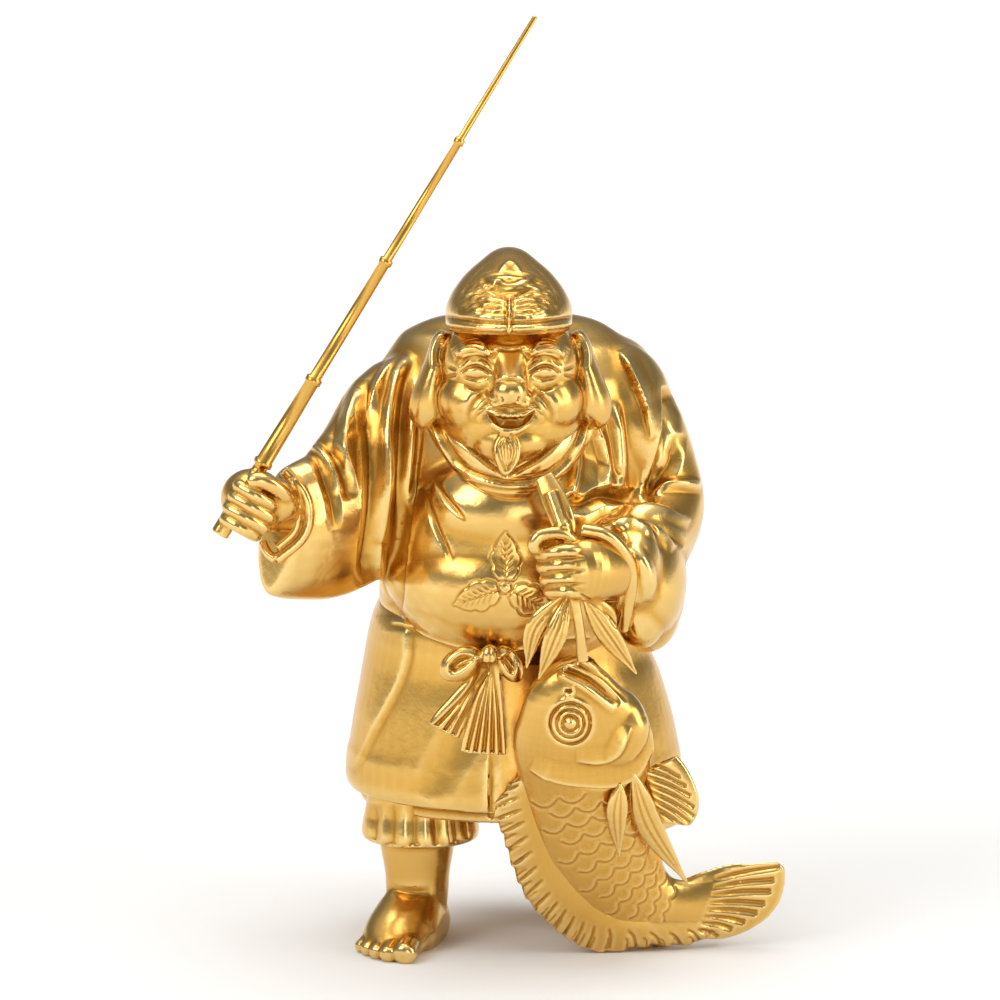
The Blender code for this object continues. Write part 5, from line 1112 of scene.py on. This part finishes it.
def build_figure():
    """Every form of the casting: its name, its grain, how often it is smoothed, and what is carved on it."""
    gold = gold_leaf("burnished gold leaf", 0.0007, 0.00004)
    pieces = (
        ("robe", robe_forms(), ROBE_GRAIN, 32, ROBE_STROKES),
        ("cuffs", cuff_forms(), HAND_GRAIN, 3, ()),
        ("skirt", skirt_forms(), ROBE_GRAIN, 20, ROBE_STROKES),
        ("legs", leg_forms(), LEG_GRAIN, 14, leg_strokes()),
        ("head", head_forms(), HEAD_GRAIN, 9, face_strokes() + beard_strokes() + ear_strokes()),
        ("cap", cap_forms(), CAP_GRAIN, 12, cap_strokes()),
        ("sash_bow", bow_forms(), HAND_GRAIN, 1, bow_strokes()),
        ("sea_bream", fish_forms(), FISH_GRAIN, 6, FISH_STROKES + fish_scales() + tail_lines()),
        ("fins", fin_forms(), FISH_GRAIN, 3, fin_strokes()),
        ("collar", collar_forms(), COLLAR_GRAIN, 6, collar_strokes()),
        ("right_hand", right_hand_forms(), HAND_GRAIN, 3, ()),
        ("left_hand", left_hand_forms(), HAND_GRAIN, 4, hand_leaf_strokes()),
    )
    for name, forms, grain, rounding, strokes in pieces:
        mesh = skinned(forms, grain, rounding, sleeve_hollows() if name == "robe" else None)
        carve(mesh, strokes)
        if name in ("robe", "skirt"):
            carve(mesh, BACK_STROKES, 180)
        if name == "robe":
            refine(mesh, *CREST_CORNERS)
            carve(mesh, CREST_STROKES)
        if name == "cap":
            crumple(mesh, (-2.8, 178, -46), (17, 14, 9), 2.6, 0.6)
        if name in ("legs", "sea_bream", "fins"):
            level_off(mesh)
        add_piece(name, mesh, "figure", gold)


def build_rod():
    """The bamboo rod: two rings at the hand, then four lengths that end in a ring and step down.

    The profile gives distances above the seat on the fist and radii, both in metres.
    """
    low, step = ROD_LOW_RADIUS, PLUG_CLEARANCE
    profile = [(step, low * 0.9), (step + 0.0003, low), (0.0024, low), (0.0028, low * 0.86),
               (0.0045, low * 0.86), (0.0049, low + RING_RISE), (0.0061, low + RING_RISE), (0.0065, low)]
    for share in NODE_SHARES:
        at = share * ROD_LENGTH
        radius = low + (ROD_TIP_RADIUS - low) * share
        profile += [(at - 0.0018, radius), (at - 0.0015, radius + RING_RISE), (at, radius + RING_RISE),
                    (at + 0.0003, radius * 0.88)]
    profile += [(ROD_LENGTH - 0.0004, ROD_TIP_RADIUS), (ROD_LENGTH, ROD_TIP_RADIUS * 0.6)]
    stations = [(rod_point(along / UNIT), radius / UNIT, radius / UNIT) for along, radius in profile]
    bm = bmesh.new()
    tube(bm, stations, up=AXIS_Y, along=rod_point(1) - rod_point(0), sides=ROD_SIDES, steps=1)
    bmesh.ops.recalc_face_normals(bm, faces=bm.faces)
    mesh = bpy.data.meshes.new("fishing_rod_gold")
    bm.to_mesh(mesh)
    bm.free()
    brass = gold_leaf("gold leaf on turned brass", 0.0009, 0.00002)
    add_piece("fishing_rod_gold", mesh, "fishing_rod", brass, 0)


# The studio

def build_floor():
    """A round white floor that glows away from the figure, so that it meets the white ground behind."""
    bm = bmesh.new()
    bmesh.ops.create_circle(bm, cap_ends=True, segments=96, radius=14)
    mesh = bpy.data.meshes.new("floor")
    bm.to_mesh(mesh)
    bm.free()
    floor = placed("floor", mesh)
    material = bpy.data.materials.new("matt white paper")
    material.use_nodes = True
    tree = material.node_tree
    shader = tree.nodes["Principled BSDF"]
    shader.inputs["Base Color"].default_value = linear("#F4F3F1")
    shader.inputs["Roughness"].default_value = 0.9
    where = add_node(tree, "ShaderNodeTexCoord")
    away = add_node(tree, "ShaderNodeVectorMath", [("operation", "LENGTH")], [(0, where.outputs["Object"])])
    glow = add_node(tree, "ShaderNodeMapRange", [],
                    [("Value", away.outputs["Value"]), ("From Min", 0.15), ("From Max", 1.3),
                     ("To Max", 0.6)])
    shader.inputs["Emission Color"].default_value = linear("#FFFFFF")
    tree.links.new(glow.outputs["Result"], shader.inputs["Emission Strength"])
    mesh.materials.append(material)


def add_light(name, stand, size, power):
    """A soft box that faces the figure from where it stands."""
    light = bpy.data.lights.new(name, "AREA")
    light.shape = "RECTANGLE"
    light.size, light.size_y = size
    light.energy = power
    obj = bpy.data.objects.new(name, light)
    obj.location = stand
    obj.rotation_mode = "QUATERNION"
    obj.rotation_quaternion = (LIGHT_AIM - Vector(stand)).to_track_quat("-Z", "Y")
    bpy.context.scene.collection.objects.link(obj)


def build_studio():
    """The grey surroundings that the gold mirrors, and four soft boxes."""
    world = bpy.data.worlds.new("studio")
    world.use_nodes = True
    tree = world.node_tree
    sky = tree.nodes["Background"]
    where = add_node(tree, "ShaderNodeTexCoord")
    split = add_node(tree, "ShaderNodeSeparateXYZ", [], [("Vector", where.outputs["Generated"])])
    ramp = add_node(tree, "ShaderNodeValToRGB", [], [("Fac", split.outputs["Z"])])
    ramp.color_ramp.elements[0].position = 0.0
    ramp.color_ramp.elements[0].color = (0.75, 0.75, 0.75, 1)
    ramp.color_ramp.elements[1].position = 0.9
    ramp.color_ramp.elements[1].color = (0.9, 0.9, 0.9, 1)
    for at, level in ((0.12, 0.42), (0.3, 0.22), (0.6, 0.3)):
        stop = ramp.color_ramp.elements.new(at)
        stop.color = (level, level, level, 1)
    tree.links.new(ramp.outputs["Color"], sky.inputs["Color"])
    bpy.context.scene.world = world
    add_light("left soft box", (-0.75, -0.55, 0.75), (0.6, 0.6), 4.6)
    add_light("right soft box", (0.9, -0.35, 0.45), (0.35, 0.8), 3)
    add_light("overhead soft box", (0, 0.1, 1.1), (0.9, 0.7), 5.6)
    add_light("front soft box", (0.15, -1.2, 0.25), (0.5, 0.5), 1.2)
    bpy.context.scene.view_settings.view_transform = "Standard"


def build_camera():
    """The photograph's view: level with the middle of the picture and looking down by VIEW_TILT."""
    data = bpy.data.cameras.new("camera")
    data.sensor_width = SENSOR_WIDTH
    data.lens = SENSOR_WIDTH * CAMERA_DISTANCE / FRAME_WIDTH
    data.clip_end = 60
    camera = bpy.data.objects.new("camera", data)
    back = Vector((0, -VIEW_LEVEL, VIEW_DOWN))
    camera.rotation_mode = "QUATERNION"
    camera.rotation_quaternion = (-back).to_track_quat("-Z", "Y")
    camera.location = spot(*VIEW_MIDDLE, VIEW_DEPTH) + back * CAMERA_DISTANCE
    bpy.context.scene.collection.objects.link(camera)
    bpy.context.scene.camera = camera


build_figure()
build_rod()
build_floor()
build_studio()
build_camera()
